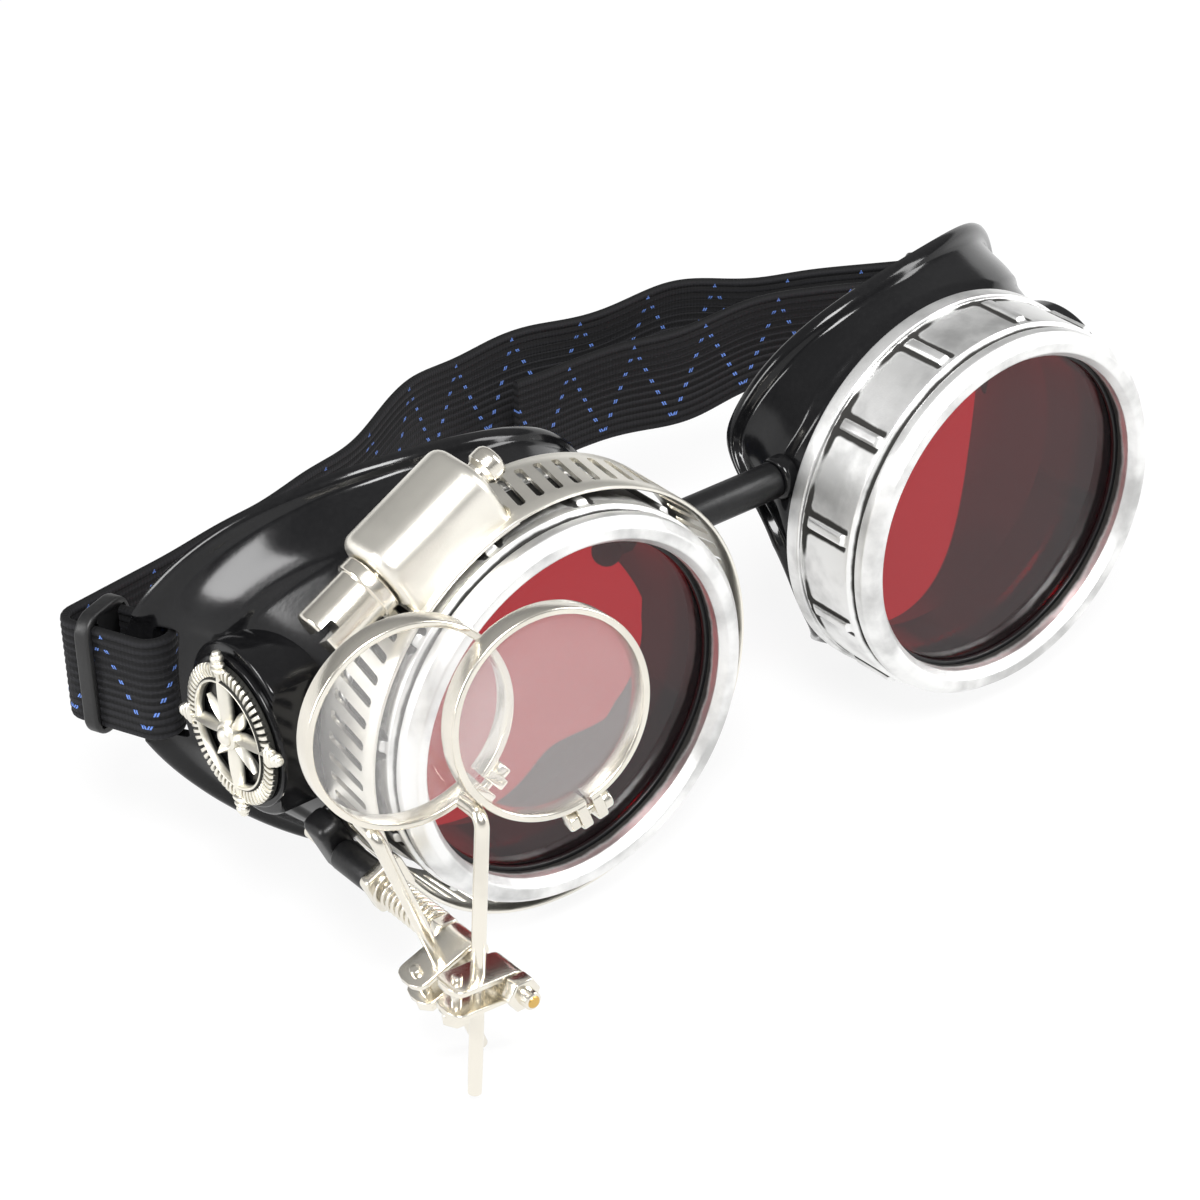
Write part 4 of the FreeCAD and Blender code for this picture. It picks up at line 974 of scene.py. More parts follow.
@dataclass
class EyeCup:
    """Moulded shell with its rolled face edge, strap slot, bridge lug and side vent boss."""

    side: Side
    depths: tuple = (14.3, 24.0, 34.5, 47.0)
    wides: tuple = (26.3, 27.7, 29.0, 31.8)
    talls: tuple = (26.3, 29.3, 33.0, 37.4)
    shifts: tuple = (0.0, 2.0, 4.3, 9.4)
    edge_back: float = 37.0
    edge_centre: float = 7.5
    edge_r: float = 38.6
    edge_slope: float = 11.9
    nose_floor: float = 15.6
    nose_r: float = 15.0
    nose_z: float = -9.0
    nose_end: float = 22.0
    nose_round: float = 10.0
    slot_half: float = 8.1
    slot_depth: float = 38.85
    boss_face: float = 33.6
    wall: float = 1.8
    wall_front: float = 14.5
    bore_end: float = 16.2
    columns: int = 288

    def section(self, depth: Array) -> tuple[Array, Array, Array]:
        """Half width, half height and outward shift at a depth: a cubic through the four sections."""
        rows = (self.wides, self.talls, self.shifts)
        return tuple(np.polyval(np.polyfit(self.depths, row, 3), depth) for row in rows)

    def shoulder(self, away: Array, radius: float) -> Array:
        """Depth of a channel's floor: flat, then a quarter circle up to its side, and endless past it."""
        rise = radius - np.sqrt(np.maximum(radius ** 2 - np.clip(away, 0, radius) ** 2, 0.0))
        return np.where(away > radius, np.inf, self.nose_floor + rise)

    def edge(self, angle: Array) -> Array:
        """Depth of the face edge round the cup.

        It is the first depth at which the wall leaves a slanted cylinder or enters the hollow for the nose,
        which is the overlap of two channels, one along X and one along Z.

        Args:
            angle: Angles round the cup, one row.

        Returns:
            One depth for each angle, as a row.
        """
        depth = np.linspace(self.depths[0], 48.0, 1700)[:, None]
        wide, tall, shift = self.section(depth)
        out, up = shift + wide * np.cos(angle), tall * np.sin(angle)
        slope = math.radians(self.edge_slope)
        lift = np.sqrt(np.maximum(self.edge_r ** 2 - up ** 2, 0.0))
        lift = lift + (out - self.edge_centre) * math.sin(slope)
        floor = np.maximum(self.shoulder(up - self.nose_z, self.nose_r),
                           self.shoulder(out + OPENING[0] + self.nose_round - self.nose_end, self.nose_round))
        past = (depth > self.edge_back - self.edge_r + lift / math.cos(slope)) | (depth >= floor)
        end = depth[np.argmax(past, axis=0), 0]
        for _ in range(26):
            end = 0.25 * np.roll(end, 1) + 0.5 * end + 0.25 * np.roll(end, -1)
        return end[None]

    def shell(self) -> Surface:
        """The whole wall as one closed sheet: neck, outer wall, rolled lip, inner wall and bore.

        Each row is an ellipse at the section of its depth, grown or shrunk by the lip's offset, and the
        rows between the neck and the face edge are spaced evenly along each column.

        Returns:
            The surface, with depth along +Y.
        """
        angle = np.linspace(0, TURN, self.columns, endpoint=False)[None]
        end = self.edge(angle)
        roll = np.clip((end - 14.75) / 3.0, 0.25, 1.0)
        lip = np.array([
            (3.0, 0.0), (2.6, 0.1), (2.3, 0.42), (2.12, 0.8), (1.8, 1.08), (1.3, 1.2), (0.8, 1.16),
            (0.35, 0.95), (0.08, 0.55), (0.0, 0.0), (0.0, -0.6), (0.12, -1.15), (0.4, -1.55), (0.9, -1.8),
        ])
        share = np.linspace(0, 1, 62)[:, None]
        outer = self.wall_front + share[1:-1] * (end - 3.0 * roll - self.wall_front)
        fold = 0.6 * step(13.0, 11.2, end - outer) * step(3.2, 10.0, end - outer) * step(15.0, 17.0, outer)
        curl = end - lip[:, 0, None] * roll
        floor = np.minimum(self.bore_end, curl[-1:])
        inner = curl[-1:] + share[1:] * (floor - curl[-1:])
        seam, front = np.full_like(end, 14.42), np.full_like(end, self.wall_front)
        depth = np.concatenate([seam, front, outer, curl, inner])
        grow = np.concatenate([
            np.full_like(end, -0.25), np.zeros_like(end), fold, lip[:, 1, None] * roll,
            np.full_like(inner, -self.wall),
        ])
        wide, tall, shift = self.section(depth)
        up = tall * np.sin(angle)
        at_slot = (1 - step(self.slot_half, self.slot_half + 1.2, np.abs(up))) * (np.cos(angle) > 0)
        grow = np.where(grow > 0, grow * (1 - at_slot), grow)
        across = (shift + (wide + grow) * np.cos(angle)) * self.side.value
        flare = np.stack([across, depth, (tall + grow) * np.sin(angle)], -1)
        neck = turned(np.array([
            (23.5, self.bore_end), (23.5, 10.0), (23.5, 5.25), (23.65, 5.1), (25.65, 5.1), (25.8, 5.25),
            (25.8, 14.2), (25.85, 14.3), (26.0, 14.33),
        ]), self.columns)
        neck[0, :, 1] = floor[0]
        neck[..., 0] *= self.side.value
        return lattice(np.concatenate([flare, neck]), wrap_rows=True)

    def boss(self) -> Surface:
        """Round side boss.

        Its root is moved onto the middle of the wall, and it is flat where it would meet the clamp band.

        Returns:
            The surface, with depth along +Y.
        """
        face = self.boss_face
        shape = spun([(0, 24.4), (11.6, 24.4), (11.6, face), (0, face)], [0, 0, 0.5, 0], 96)
        points = BOSS_PLACE.at(shape.points)
        points[:, 1] = np.maximum(points[:, 1], 16.7)
        wide, tall, shift = self.section(points[:, 1])
        wall = shift + wide * np.sqrt(1 - (points[:, 2] / tall) ** 2) - self.wall / 2
        points[:, 0] = np.where(points[:, 0] < 25.0, np.minimum(wall, face - 0.6), points[:, 0])
        return Surface(points, shape.faces).mirrored(self.side.value)

    def build(self) -> None:
        """Make the shell with its slot, the boss, the lug and the vent cap."""
        name = self.side.word
        place = cup_place(self.side)
        sign = self.side.value
        shell = self.shell().placed(place)
        shell = make_piece(f"{name}_cup_shell", shell, CUP_BLACK, "frame", f"{name}_eyecup")
        slot = block((40.0, 2 * self.slot_half, 3.3), corner=1.4, edge=0.8)
        carve(shell, slot.placed(place.inside((sign * 51.0, self.slot_depth, 0), SWAP_YZ)))
        make_piece(f"{name}_cup_boss", self.boss().placed(place), CUP_BLACK, "frame")
        plug = spun([(0, 33.65), (10.2, 33.65), (10.2, 34.45), (8.9, 34.45), (8.7, 34.25), (0, 34.25)],
                    [0, 0.1, 0.25, 0.1, 0.1, 0], 96)
        plug = plug.placed(BOSS_PLACE).mirrored(sign).placed(place)
        make_piece(f"{name}_vent_plug", plug, CUP_BLACK, "frame", f"{name}_vent_cap")
        lug = spun([(0, 24.6), (3.0, 24.6), (3.0, 26.6), (1.4, 26.6), (1.3, 25.6), (0, 25.6)],
                   [0, 0, 0.6, 0.2, 0, 0], 48)
        lug = lug.placed(Place(axes=LIE_ALONG_X)).mirrored(-sign)
        lug = lug.placed(Place(np.array([sign * OPENING[0], 0, 0])))
        make_piece(f"{name}_bridge_lug", lug, CUP_BLACK, "frame")


@dataclass
class Charm:
    """Openwork compass rose on the right boss."""

    teeth: int = 64
    middle: tuple = (-71.5, 6.9, -8.2)
    turn: float = 8.0

    def rim(self) -> Surface:
        """Toothed ring: a beaded inner edge, and a flat cut across by even grooves that fade at its edges.

        Each groove is the stepped sine of the angle times the count of teeth.

        Returns:
            The surface, lying in X and Y.
        """
        angle = np.linspace(0, TURN, self.teeth * 10, endpoint=False)[None]
        rows = np.array([
            (7.0, 0.05), (7.0, 1.1), (7.1, 1.32), (7.28, 1.38), (7.45, 1.3), (7.55, 1.08), (7.68, 1.12),
            (8.0, 1.24), (8.7, 1.28), (9.15, 1.24), (9.4, 1.05), (9.5, 0.8), (9.5, 0.2), (9.35, 0.05),
        ])
        radius, height = rows[:, 0, None], rows[:, 1, None]
        cut = step(0.1, 0.5, np.sin(angle * self.teeth)) * step(7.5, 7.75, radius) * step(0.5, 0.9, height)
        up = height - 0.6 * cut
        grid = np.stack([radius * np.cos(angle), radius * np.sin(angle), up + 0 * angle], -1)
        wear = np.clip(cut * 1.2 + (np.abs(radius - 7.55) < 0.12) + (height < 0.9), 0, 1) * (1 + 0 * angle)
        return lattice(grid, wrap_rows=True, wear=wear)

    def point(self, degrees: float, reach: float, half: float, high: float) -> Surface:
        """One petal of the rose: a leaf whose half width is a sine along it and whose top is a soft ridge.

        Args:
            degrees: Where it points.
            reach: How far its tip is from the middle.
            half: Its half width.
            high: Height of its ridge.

        Returns:
            The surface, lying in X and Y.
        """
        share = np.linspace(0.01, 0.99, 16)[:, None]
        wide = half * np.sin(math.pi * share ** 0.75) ** 0.8 + 0.12
        angle = np.linspace(0, TURN, 20, endpoint=False)[None]
        along = 0.8 + share * (reach - 0.8) + 0 * angle
        side = wide * np.cos(angle)
        ridge = high * (1 - np.abs(np.cos(angle)) ** 1.4)
        rise = np.where(np.sin(angle) > 0, ridge, 0.12 * np.sin(angle)) * (0.6 + 0.4 * wide / half)
        wear = np.clip(0.75 - rise / high, 0, 1)
        leaf = lattice(np.stack([along, side, rise + 0.2], -1), lids=True, wear=wear)
        return leaf.placed(Place(axes=turn_about("z", degrees)))

    def build(self) -> None:
        """Make the rose and its pin."""
        parts = [self.rim()]
        for number in range(4):
            parts.append(self.point(90 * number, 9.6, 0.78, 1.5))
            parts.append(self.point(90 * number + 45, 6.0, 0.82, 1.05))
            knob = weld(ball((0.5, 1.55, 0.8), (9.0, 0, 0.95)), ball((0.42, 1.25, 0.8), (9.75, 0, 0.95)),
                        ball((0.75, 0.95, 0.85), (10.5, 0, 0.9)), ball((0.45, 0.6, 0.6), (11.15, 0, 0.85)))
            parts.append(knob.placed(Place(axes=turn_about("z", 90 * number))))
        hub = spun([(0.01, 0.1), (1.9, 0.1), (1.9, 1.5), (1.5, 1.82), (1.2, 1.6), (0.01, 1.6)], 0.15, 48)
        parts.append(hub.placed(UPENDED))
        upright = np.array([[0.0, 0, -1.0], [0, 1.0, 0], [1.0, 0, 0]])
        place = Place(np.array(self.middle), upright @ turn_about("z", self.turn))
        make_piece("compass_rose", weld(*parts).placed(place), PEWTER, "frame", "compass_charm")
        head = ball((1.25, 1.25, 0.75), (0, 0, 1.72))
        make_piece("charm_rivet", head.placed(place), PEWTER, "frame", "charm_pin")


@dataclass
class Bridge:
    """Rubber tube between the cups, over its knotted cord."""

    half: float = 10.3
    radius: float = 2.5
    bore: float = 1.3
    cord_half: float = 17.0
    cord_r: float = 1.2
    knot_r: float = 2.0
    knot_at: float = 18.1

    def build(self) -> None:
        """Make the tube and the knotted cord inside it."""
        tube = pipe(self.bore, self.radius, -self.half, self.half, 0.35, 48).placed(Place(axes=LIE_ALONG_X))
        make_piece("bridge_sleeve", tube, RUBBER, "frame", "bridge_tube")
        end = np.array([self.cord_half, 0, 0])
        cord = swept(np.linspace(-end, end, 40), self.cord_r, (0, 0, 1))
        knots = [ball((self.knot_r,) * 3, (side.value * self.knot_at, 0, 0)) for side in Side]
        make_piece("bridge_line", weld(cord, *knots), CORD, "frame", "bridge_cord")


@dataclass
class HoseClamp:
    """Slotted steel band with its saddle, cover and worm screw."""

    band_r: float = 29.5
    thick: float = 0.6
    front: float = 3.6
    width: float = 11.2
    slack: float = 1.3
    slots: int = 64
    slot_long: float = 7.0
    slot_wide: float = 1.2
    lean: float = 12.0
    housing: float = 118.6
    span: float = 16.0

    def centre(self) -> Array:
        """Middle of the band in the lens-opening plane."""
        slack = self.slack * np.array([math.cos(math.pi / 4), 0, -math.sin(math.pi / 4)])
        return cup_place(Side.RIGHT).origin + slack

    def place(self, degrees: float, depth: float) -> Place:
        """Frame on the band: X along it, Y to the back, Z outwards."""
        return Place(self.centre() + np.array([0, depth, 0]), turn_about("y", 90 - degrees))

    def band(self) -> Surface:
        """Two round sheets with the slots left out and walled.

        Each column's angle is that of its slot's middle, plus a part of the slot's width and a lean that
        grows with depth, so that a slot is made of whole cells.

        Returns:
            The surface, with depth along +Y.
        """
        pitch = TURN / self.slots
        gap = self.slot_wide / self.band_r
        tight, full = [-0.5, -0.3, 0.3, 0.5], [-0.5, -0.44, 0.44, 0.5]
        part = np.array([tight] * 3 + [full] * 2 + [tight] * 3) * gap
        part = np.concatenate([part, np.full((8, 1), pitch / 2)], axis=1)
        angle = (np.arange(self.slots)[None, :, None] * pitch + part[:, None]).reshape(8, -1)
        middle = self.front + self.width / 2
        end = self.slot_long / 2
        rows = np.array([self.front, self.front + 0.2, middle - end, middle - end + 0.28, middle + end - 0.28,
                         middle + end, self.front + self.width - 0.2, self.front + self.width])
        inset = np.array([0.15, 0.0, 0, 0, 0, 0, 0.0, 0.15])
        lean = math.tan(math.radians(self.lean)) * np.clip(rows - middle, -end, end) / self.band_r
        turn = angle - lean[:, None]
        sheets = []
        depth = np.broadcast_to(rows[:, None], turn.shape)
        for radius in (self.band_r - inset[:, None], self.band_r - self.thick + inset[:, None]):
            sheets.append(np.stack([radius * np.cos(turn), depth, radius * np.sin(turn)], -1))
        count_rows, count = turn.shape
        number = np.arange(count_rows * count).reshape(count_rows, count)
        inside = number + count_rows * count
        kind = np.tile(np.arange(5), self.slots)
        away = np.abs((np.arange(self.slots) * 360 / self.slots - self.housing + 180) % 360 - 180)
        clear = np.repeat(away > self.span, 5)
        hole = np.zeros((count_rows - 1, count), bool)
        hole[3] = (kind < 3) & clear
        hole[[2, 4]] = (kind == 1) & clear
        faces = []
        for layer in (number, inside):
            base, ahead = layer[:-1], layer[1:]
            quad = np.stack([base, np.roll(base, -1, 1), np.roll(ahead, -1, 1), ahead], -1)
            faces += quad[~hole].tolist()
        rows_at, cols_at = np.nonzero(hole != np.roll(hole, 1, 1))
        ends = [((rows_at, cols_at), (rows_at + 1, cols_at))]
        padded = np.concatenate([np.ones((1, count), bool), hole, np.ones((1, count), bool)])
        rows_at, cols_at = np.nonzero(padded[1:] != padded[:-1])
        ends.append(((rows_at, cols_at), (rows_at, (cols_at + 1) % count)))
        for here, there in ends:
            faces += np.stack([number[here], number[there], inside[there], inside[here]], -1).tolist()
        return Surface(np.concatenate([sheet.reshape(-1, 3) for sheet in sheets]), faces)

    def build(self) -> None:
        """Make the band, the cover with its saddle, and the screw."""
        band = self.band().placed(Place(self.centre()))
        make_piece("clamp_strip", band, SATIN, "right_cap_ring", "clamp_band")
        local = self.place(self.housing, self.front + self.width / 2)
        arch = [(-5.7, 28.9), (5.7, 28.9), (5.7, 38.2), (-5.7, 38.2)]
        arch = rounded(arch, [0.1, 0.1, 4.0, 4.0], 8, closed=True)
        cover = prism(arch, -8.5, 8.5, 1.7, 6).placed(Place(axes=CYCLE))
        turn = np.radians(np.linspace(-self.span, self.span, 40))
        saddle = ribbon(30.0 * np.stack([np.sin(turn), np.cos(turn)], 1), 0.8, 6.7, 0.3)
        make_piece("clamp_cover", weld(cover, saddle).placed(local), SATIN, "right_cap_ring", "clamp_housing")
        axis = local.inside((0, 0, 33.0), LIE_ALONG_X)
        screw = spun([(0, -18.3), (3.7, -18.3), (3.7, -10.7), (4.2, -10.7), (4.2, -8.75), (2.3, -8.7),
                      (1.7, 8.0), (1.7, 9.5), (2.3, 10.1), (2.3, 12.5), (0, 12.5)],
                     [0, 0.45, 0.15, 0.3, 0.3, 0, 0, 0.3, 0.3, 1.5, 0], 64)
        piece = make_piece("clamp_worm_screw", screw.placed(axis), NICKEL, "clamp_worm", "clamp_screw")
        groove = block((12.0, 4.2, 1.4), (0, 0, 0), 0.2, 0.1)
        carve(piece, groove.placed(axis.inside((0, -18.3, 0), turn_about("y", -40))))


@dataclass
class LoupeClip:
    """Rod, rear pad with its hook, sleeve, sprung front jaw and nuts."""

    clamp: HoseClamp
    rod_r: float = 1.2
    rod_at: tuple = (-65.7, -17.5, -22.25)
    coil_turns: int = 9
    coil_long: float = 9.8
    coil_r: float = 1.9
    coil_wire: float = 0.3
    coil_front: float = -9.0

    def build(self) -> None:
        """Make every piece on the rod."""
        rod = np.array(self.rod_at)
        bar = swept(np.linspace(rod + (0, -27.8, 0), rod + (0, 18.2, 0), 30), self.rod_r, (0, 0, 1), 24, 0.35)
        make_piece("loupe_spindle", bar, NICKEL, "right_cap_ring", "loupe_rod")
        tip = spun([(0, -27.98), (0.7, -27.98), (0.85, -27.75), (0.8, -27.5), (0, -27.5)],
                   [0, 0.12, 0.1, 0, 0], 32)
        make_piece("loupe_spindle_tip", tip.placed(Place(rod)), BRASS, "right_cap_ring")
        away = rod - self.clamp.centre()
        local = self.clamp.place(math.degrees(math.atan2(away[2], away[0])), 0.0)
        axis_r = math.hypot(away[0], away[2])
        pad = block((9.2, 5.1, 3.7), (0, 13.75, 31.95), 1.3, 1.1)
        hook = block((7.2, 1.2, 2.2), (0, 15.7, 30.0), 0.5, 0.3)
        make_piece("clip_rear_pad", weld(pad, hook).placed(local), RUBBER, "right_cap_ring", "clip_pad")
        on_rod = local.inside((0, 0, axis_r))
        sleeve = pipe(1.22, 2.1, 3.6, 11.0, 0.3, 40)
        make_piece("clip_rubber_sleeve", sleeve.placed(on_rod), RUBBER, "right_cap_ring", "clip_sleeve")
        plate = prism(oblong(6.0, 5.9, 1.0, centre=(0, 31.85)), 1.6, 3.3, 0.25).placed(UPENDED)
        collar = pipe(1.25, 2.3, 1.0, 1.7, 0.15, 40).placed(Place(np.array([0, 0, axis_r])))
        make_piece("clip_front_jaw", weld(plate, collar).placed(local), NICKEL, "front_jaw", "clip_jaw")
        for name, front in (("spring_nut", -11.2), ("rod_end_nut", -26.2)):
            nut = hexagon(4.0, 0.0, 2.0, 0.3).placed(UPENDED).placed(Place(rod + (0, front, 0)))
            make_piece(f"{name}_hex", nut, NICKEL, "right_cap_ring", name)
        pitch = (self.coil_long - 2 * self.coil_wire) / self.coil_turns
        angle = np.linspace(0, TURN * self.coil_turns, 48 * self.coil_turns)
        depth = self.coil_front + self.coil_wire + pitch * angle / TURN
        helix = np.stack([self.coil_r * np.cos(angle), depth, self.coil_r * np.sin(angle)], 1) + rod
        wire = swept(helix, self.coil_wire, (0, 1, 0), 10, 0.1)
        coil = make_piece("clip_coil", wire, NICKEL, "right_cap_ring", "clip_spring")
        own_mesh(coil)


@dataclass
class LoupeArm:
    """One swing arm: rolled bracket with its bolt, bent stem, split rim with its screw, and the magnifier."""

    arm: Arm
    clip: LoupeClip
    rim_r: float = 13.1
    rim_thick: float = 0.9
    lens_r: float = 12.15
    dome: float = 1.1
    attach: float = 226.0
    split: float = 290.0

    def build(self) -> None:
        """Make the arm's pieces."""
        name = self.arm.word
        depth, tilt = self.arm.value
        local = Place(np.array(self.clip.rod_at) + np.array([0, depth, 0]), turn_about("y", -tilt))
        self.bracket(name, local)
        lean = turn_about("z", -7.5) @ turn_about("x", -7.5)
        corner = np.array([-3.5, 0, 23.6])
        reach = self.rim_r + 0.92
        attach = math.radians(self.attach)
        front = lean @ np.array([reach * math.cos(attach), -1.4, reach * math.sin(attach)])
        rim = local.inside(corner - front, lean)
        self.stem(name, local, corner, lean[:, 1])
        self.rim(name, rim)

    def bracket(self, name: str, local: Place) -> None:
        """Strip rolled round the rod with two leaves, and its hex bolt.

        Args:
            name: The arm's word.
            local: The bracket's frame.
        """
        turn = np.linspace(-math.pi / 2, math.pi / 2, 25)
        roll = 1.65 * np.stack([np.cos(turn), np.sin(turn)], 1)
        leaf = np.linspace(-8.4, -0.4, 24)
        lower = np.stack([leaf, np.full(24, -1.65)], 1)
        line = np.concatenate([lower, roll, lower[::-1] * (1, -1)])
        tail = np.clip(line[:, 0] + 8.4, 0, 1.5)
        half = 1.0 + np.sqrt(np.maximum(1.5 ** 2 - (1.5 - tail) ** 2, 0))
        strip = ribbon(line, 0.8, half, 0.2).placed(local)
        make_piece(f"{name}_hinge_strip", strip, NICKEL, f"{name}_arm", f"{name}_bracket")
        head = hexagon(3.2, -3.57, -2.07, 0.25)
        shank = swept(np.linspace((0, 0, -2.2), (0, 0, 2.7), 8), 0.75, (1, 0, 0), 20, 0.2)
        bolt = weld(head, shank).placed(local.inside((-6.6, 0, 0)))
        make_piece(f"{name}_pinch_bolt", bolt, NICKEL, f"{name}_arm", f"{name}_bracket_bolt")

    def stem(self, name: str, local: Place, corner: Array, foot: Array) -> None:
        """Wire that goes up through the bracket and bends into a foot along the rim.

        Args:
            name: The arm's word.
            local: The bracket's frame.
            corner: Where the two runs would meet.
            foot: Unit vector along the foot.
        """
        up = np.array([0.0, 0, 1.0])
        run = rounded([(0, -39.0), (0, 0), (4.7, 0)], 1.8, 10)
        aside = foot - up * (foot @ up)
        aside /= np.linalg.norm(aside)
        skew = foot @ up
        path = corner + run[:, :1] * (math.sqrt(1 - skew ** 2) * aside + skew * up) + run[:, 1:] * up
        dense = np.concatenate([np.linspace(path[0], path[1], 12)[:-1], path[1:]])
        make_piece(f"{name}_wire", swept(dense, 0.9, np.cross(up, aside), 20, 0.3).placed(local), NICKEL,
                   f"{name}_loupe", f"{name}_stem")

    def rim(self, name: str, place: Place) -> None:
        """Split rim with two ears, its screw, and the lens of two shallow domes.

        Args:
            name: The arm's word.
            place: The rim's frame.
        """
        middle = self.rim_r - self.rim_thick / 2
        gap = math.asin(0.4 / middle)
        turn = np.linspace(gap, TURN - gap, 181)
        hoop = ribbon(middle * np.stack([np.cos(turn), np.sin(turn)], 1), self.rim_thick, 1.5, 0.28)
        ears = [block((3.35, 3.0, 1.4), (14.35, 0, low), 0.5, 0.25) for low in (1.1, -1.1)]
        spin = place.inside((0, 0, 0), turn_about("y", -self.split))
        make_piece(f"{name}_hoop", weld(hoop, *ears).placed(spin), NICKEL, f"{name}_loupe", f"{name}_rim")
        screw_x = self.rim_r + 2.9 * 0.55
        head = spun([(0, 1.82), (1.2, 1.82), (1.2, 3.02), (0, 3.02)], [0, 0.1, 0.35, 0], 32).placed(UPENDED)
        nut = hexagon(2.4, -3.02, -1.82, 0.2)
        shank = swept(np.linspace((0, 0, -1.9), (0, 0, 1.9), 6), 0.6, (1, 0, 0), 16, 0.1)
        make_piece(f"{name}_ear_screw", weld(head, nut, shank).placed(spin.inside((screw_x, 0, 0))), NICKEL,
                   f"{name}_loupe", f"{name}_rim_screw")
        radius = np.concatenate([np.linspace(0.01, 12.0, 20), [12.1, self.lens_r]])
        ball_r = (self.lens_r ** 2 + self.dome ** 2) / (2 * self.dome)
        dome = ball_r - 2.0 - np.sqrt(ball_r ** 2 - radius ** 2)
        profile = np.concatenate([np.stack([radius, dome], 1), np.stack([radius, -dome], 1)[::-1]])
        make_piece(f"{name}_lens_disc", lattice(turned(profile, 96), lids=True).placed(place), CLEAR_GLASS,
                   f"{name}_loupe", f"{name}_magnifier")


@dataclass
class HeadStrap:
    """Elastic strap on its route, and the two sliders."""

    route: tuple = (
        (-73.233, 32.389), (-68.935, 22.264), (-74.274, 19.997), (-80.369, 34.357), (-42.0, 40.8),
        (2.0, 60.0), (42.477, 53.215), (79.34, 31.932), (74.274, 19.997), (68.935, 22.264),
        (71.996, 29.475), (53.433, 40.192), (22.0, 52.0), (6.0, 51.5),
    )
    radii: tuple = (0, 2.842, 2.842, 2.2, 42, 48, 42, 8.4, 2.842, 2.842, 2.6, 60, 45, 0)
    wide: float = 15.0
    low: float = -15.5
    ribs: int = 14

    def band(self) -> Surface:
        """The strap's skin: its section has rounded ribs, its free runs wave and lean, and its tail droops.

        A rib is the size of a sine across the strap, and each wave or lean is a sum of two sines along it.

        Returns:
            The surface, with a map in millimetres along and across.
        """
        line = rounded(self.route, self.radii, 16)
        run = np.concatenate([[0], np.cumsum(np.linalg.norm(np.diff(line, axis=0), axis=1))])
        length = np.linspace(0, run[-1], 460)
        line = np.stack([np.interp(length, run, line[:, axis]) for axis in (0, 1)], 1)
        along = np.gradient(line, axis=0)
        along /= np.linalg.norm(along, axis=1, keepdims=True)
        normal = np.stack([-along[:, 1], along[:, 0]], 1)
        across = np.linspace(0, self.wide, 8 * self.ribs + 1)
        rib = np.abs(np.sin(math.pi * across * self.ribs / self.wide)) ** 0.6
        edge = np.sqrt(np.clip(1 - (np.abs(across - self.wide / 2) / (self.wide / 2 + 0.02)) ** 24, 0, 1))
        half = (0.5 + 0.14 * rib) * edge
        out = np.concatenate([half, -half[::-1][1:-1]])
        over = np.concatenate([across, across[::-1][1:-1]])
        tail = step(run[-1] - 46, run[-1] - 12, length)
        free = step(42, 70, length) * (1 - step(158, 180, length)) + step(238, 262, length)
        wave = 0.7 * np.sin(length / 7.3) + 0.45 * np.sin(length / 3.9 + 1.0)
        drop = self.low - 4.2 * tail + free * wave
        lean = free * (0.055 * np.sin(length / 9.1 + 0.6) + 0.035 * np.sin(length / 4.7))
        offset = out[None] + lean[:, None] * (over[None] - self.wide / 2)
        flat = line[:, None] + offset[..., None] * normal[:, None]
        up = over[None] + drop[:, None]
        points = np.stack([flat[..., 0], flat[..., 1], up], -1)
        uv = np.stack(np.broadcast_arrays(length[:, None], over[None]), -1)
        return lattice(points, lids=True, uv=uv)

    def slider(self, name: str, body: str, centre: Vec, lead: Vec) -> None:
        """Flat buckle with rounded ends, and two slots either side of its middle bar.

        Args:
            name: The wearer's side, as the nodes carry it.
            body: The body that it rides on.
            centre: Its middle.
            lead: Direction of the strap through it.
        """
        axes = np.array([[lead[1], 0, lead[0]], [-lead[0], 0, lead[1]], [0, 1.0, 0]])
        place = Place(np.asarray(centre, float), axes)
        plate = prism(oblong(9.5, 18.0, 3.0, 8), -1.1, 1.1, 0.45, 4)
        buckle = make_piece(f"{name}_buckle", plate.placed(place), BUCKLE, body, f"{name}_slider")
        slots = [block((1.7, 15.4, 8.0), (sign * 2.9, 0, 0), 0.5, 0.2) for sign in (1, -1)]
        carve(buckle, *[slot.placed(place) for slot in slots])

    def build(self) -> None:
        """Make the strap and both sliders."""
        make_piece("head_strap", self.band(), ELASTIC, "frame", "strap", crease=60)
        self.slider("left", "strap_slider", (68.74, 34.704, -8.0), (-0.866, 0.5))
        self.slider("right", "frame", (-75.629, 30.612, -8.0), (-0.3907, 0.9205))


@dataclass(frozen=True)
class Panel:
    """A soft lamp: where it stands and looks in metres, its two sides, and its power in watts."""

    name: str
    spot: tuple
    aim: tuple
    size: tuple
    power: float

    def axes(self) -> Array:
        """Axes of a frame whose -Z runs from the lamp to its aim.

        Returns:
            A 3 by 3 matrix of columns.
        """
        back = np.subtract(self.spot, self.aim)
        back /= np.linalg.norm(back)
        right = np.cross([0, 0, 1.0], back)
        right /= np.linalg.norm(right)
        return np.stack([right, np.cross(back, right), back], 1)

    def build(self) -> None:
        """Add the lamp to the scene."""
        light = bpy.data.lights.new(self.name, "AREA")
        light.shape, light.energy = "RECTANGLE", self.power
        light.size, light.size_y = self.size
        lamp = add_object(self.name, light)
        lamp.matrix_world = Matrix.Translation(self.spot) @ Matrix(self.axes()).to_4x4()


PANELS = (
    Panel("overhead panel", (-0.3, -0.45, 0.75), (0.0, 0.0, 0.0), (0.35, 0.35), 11.0),
    Panel("left panel", (-0.75, 0.25, 0.3), (-0.03, 0.0, 0.0), (0.2, 0.4), 4.0),
    Panel("right panel", (0.6, -0.4, 0.45), (0.0, 0.0, 0.0), (0.25, 0.5), 4.5),
)


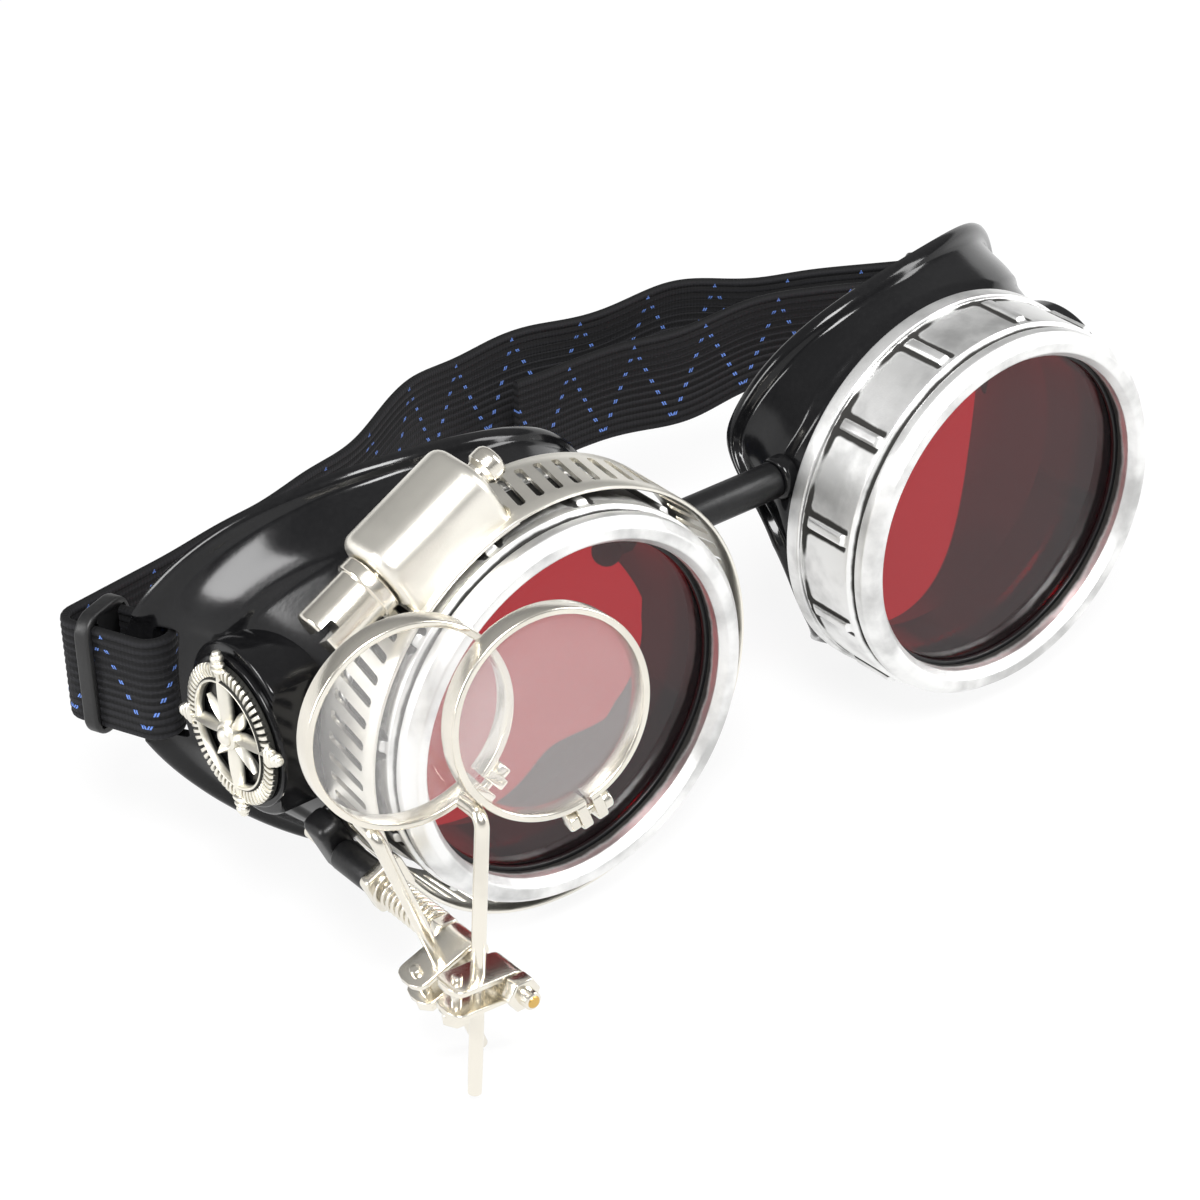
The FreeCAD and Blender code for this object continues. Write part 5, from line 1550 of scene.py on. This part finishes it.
@dataclass
class Studio:
    """Pale floor, soft lamps and the camera, which looks at a point from a distance in millimetres."""

    floor_z: float
    floor_half: float = 40.0
    aim: tuple = (-32.83, -17.5, 6.68)
    away: float = 429.17
    turn: float = -37.48
    rise: float = 31.54
    roll: float = -1.79
    focal: float = 105.0

    def camera(self) -> None:
        """Stand the camera where the lens circles put it, rolled by a small angle."""
        turn, rise, roll = (math.radians(angle) for angle in (self.turn, self.rise, self.roll))
        back = np.array([math.sin(turn) * math.cos(rise), -math.cos(turn) * math.cos(rise), math.sin(rise)])
        right = np.array([math.cos(turn), math.sin(turn), 0])
        up = np.cross(back, right)
        right, up = math.cos(roll) * right + math.sin(roll) * up, math.cos(roll) * up - math.sin(roll) * right
        spot = (np.array(self.aim) + self.away * back) * MM
        lens = bpy.data.cameras.new("camera")
        lens.lens, lens.sensor_width, lens.clip_start = self.focal, 36.0, 0.01
        eye = add_object("camera", lens)
        eye.matrix_world = Matrix.Translation(spot) @ Matrix(np.stack([right, up, back], 1)).to_4x4()
        bpy.context.scene.camera = eye

    def seen(self, graph: Graph) -> Value:
        """Tell the rays that look from the rays that light.

        Args:
            graph: The node tree of the floor or the sky.

        Returns:
            One for the rays of the eye, of metal and of glass, and nought for the others.
        """
        ray = graph.node("ShaderNodeLightPath")
        kinds = ("Camera", "Glossy", "Transmission")
        eye, metal, glass = (Value(graph, ray.outputs[f"Is {kind} Ray"]) for kind in kinds)
        return graph.maths("MAXIMUM", graph.maths("MAXIMUM", eye, metal), glass)

    def floor(self) -> None:
        """A wide white floor that stays white to the eye and keeps a faint shadow."""
        mesh = bpy.data.meshes.new("floor")
        corners = ((-1, -1), (1, -1), (1, 1), (-1, 1))
        points = [(x * self.floor_half, y * self.floor_half, self.floor_z * MM) for x, y in corners]
        mesh.from_pydata(points, [], [(0, 1, 2, 3)])
        paint = bpy.data.materials.new("floor paint")
        paint.use_nodes = True
        graph = Graph(paint.node_tree)
        seen = self.seen(graph)
        matt = graph.node("ShaderNodeBsdfDiffuse", None, Color=rgb(0.86, 0.86, 0.86))
        glow = graph.node("ShaderNodeEmission", None, Color=rgb(1, 1, 1), Strength=1.0)
        both = graph.node("ShaderNodeMixShader", None, n0=seen * 0.88, n1=matt.outputs[0], n2=glow.outputs[0])
        graph.close(both.outputs[0])
        mesh.materials.append(paint)
        add_object("floor", mesh)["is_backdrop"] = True

    def world(self) -> None:
        """Soft sky: bright overhead, grey lower down, and a white band behind the floor."""
        world = bpy.data.worlds.new("studio sky")
        bpy.context.scene.world = world
        world.use_nodes = True
        graph = Graph(world.node_tree)
        where = graph.node("ShaderNodeTexCoord").outputs["Generated"]
        height = Value(graph, graph.node("ShaderNodeSeparateXYZ", None, n0=where).outputs[2])
        shade = graph.mix(graph.fit(height, 0.0, 0.75), rgb(0.22, 0.22, 0.22), rgb(0.95, 0.95, 0.95))
        sky = graph.node("ShaderNodeBackground", None, Color=shade, Strength=0.45)
        white = graph.node("ShaderNodeBackground", None, Color=rgb(0.92, 0.92, 0.92), Strength=1.0)
        low = self.seen(graph) * (1 - graph.fit(height, 0.17, 0.24))
        both = graph.node("ShaderNodeMixShader", None, n0=low, n1=sky.outputs[0], n2=white.outputs[0])
        graph.close(both.outputs[0])

    def build(self) -> None:
        """Set the whole studio up."""
        bpy.context.scene.view_settings.view_transform = "Standard"
        self.camera()
        self.floor()
        self.world()
        for panel in PANELS:
            panel.build()


def main() -> None:
    """Load the frame, stand the studio on its lowest point and build every sub-assembly."""
    logging.basicConfig(level=logging.INFO, format="%(name)s: %(message)s")
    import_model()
    solid_box = [list(corner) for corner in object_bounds()]
    Studio(min(corner[2] for corner in solid_box) / MM).build()
    for side in Side:
        LensCap(side).build()
        EyeCup(side).build()
    Charm().build()
    Bridge().build()
    HeadStrap().build()
    clamp = HoseClamp()
    clamp.build()
    clip = LoupeClip(clamp)
    clip.build()
    for arm in Arm:
        LoupeArm(arm, clip).build()
    bpy.context.view_layer.update()


if __name__ == "__main__":
    main()
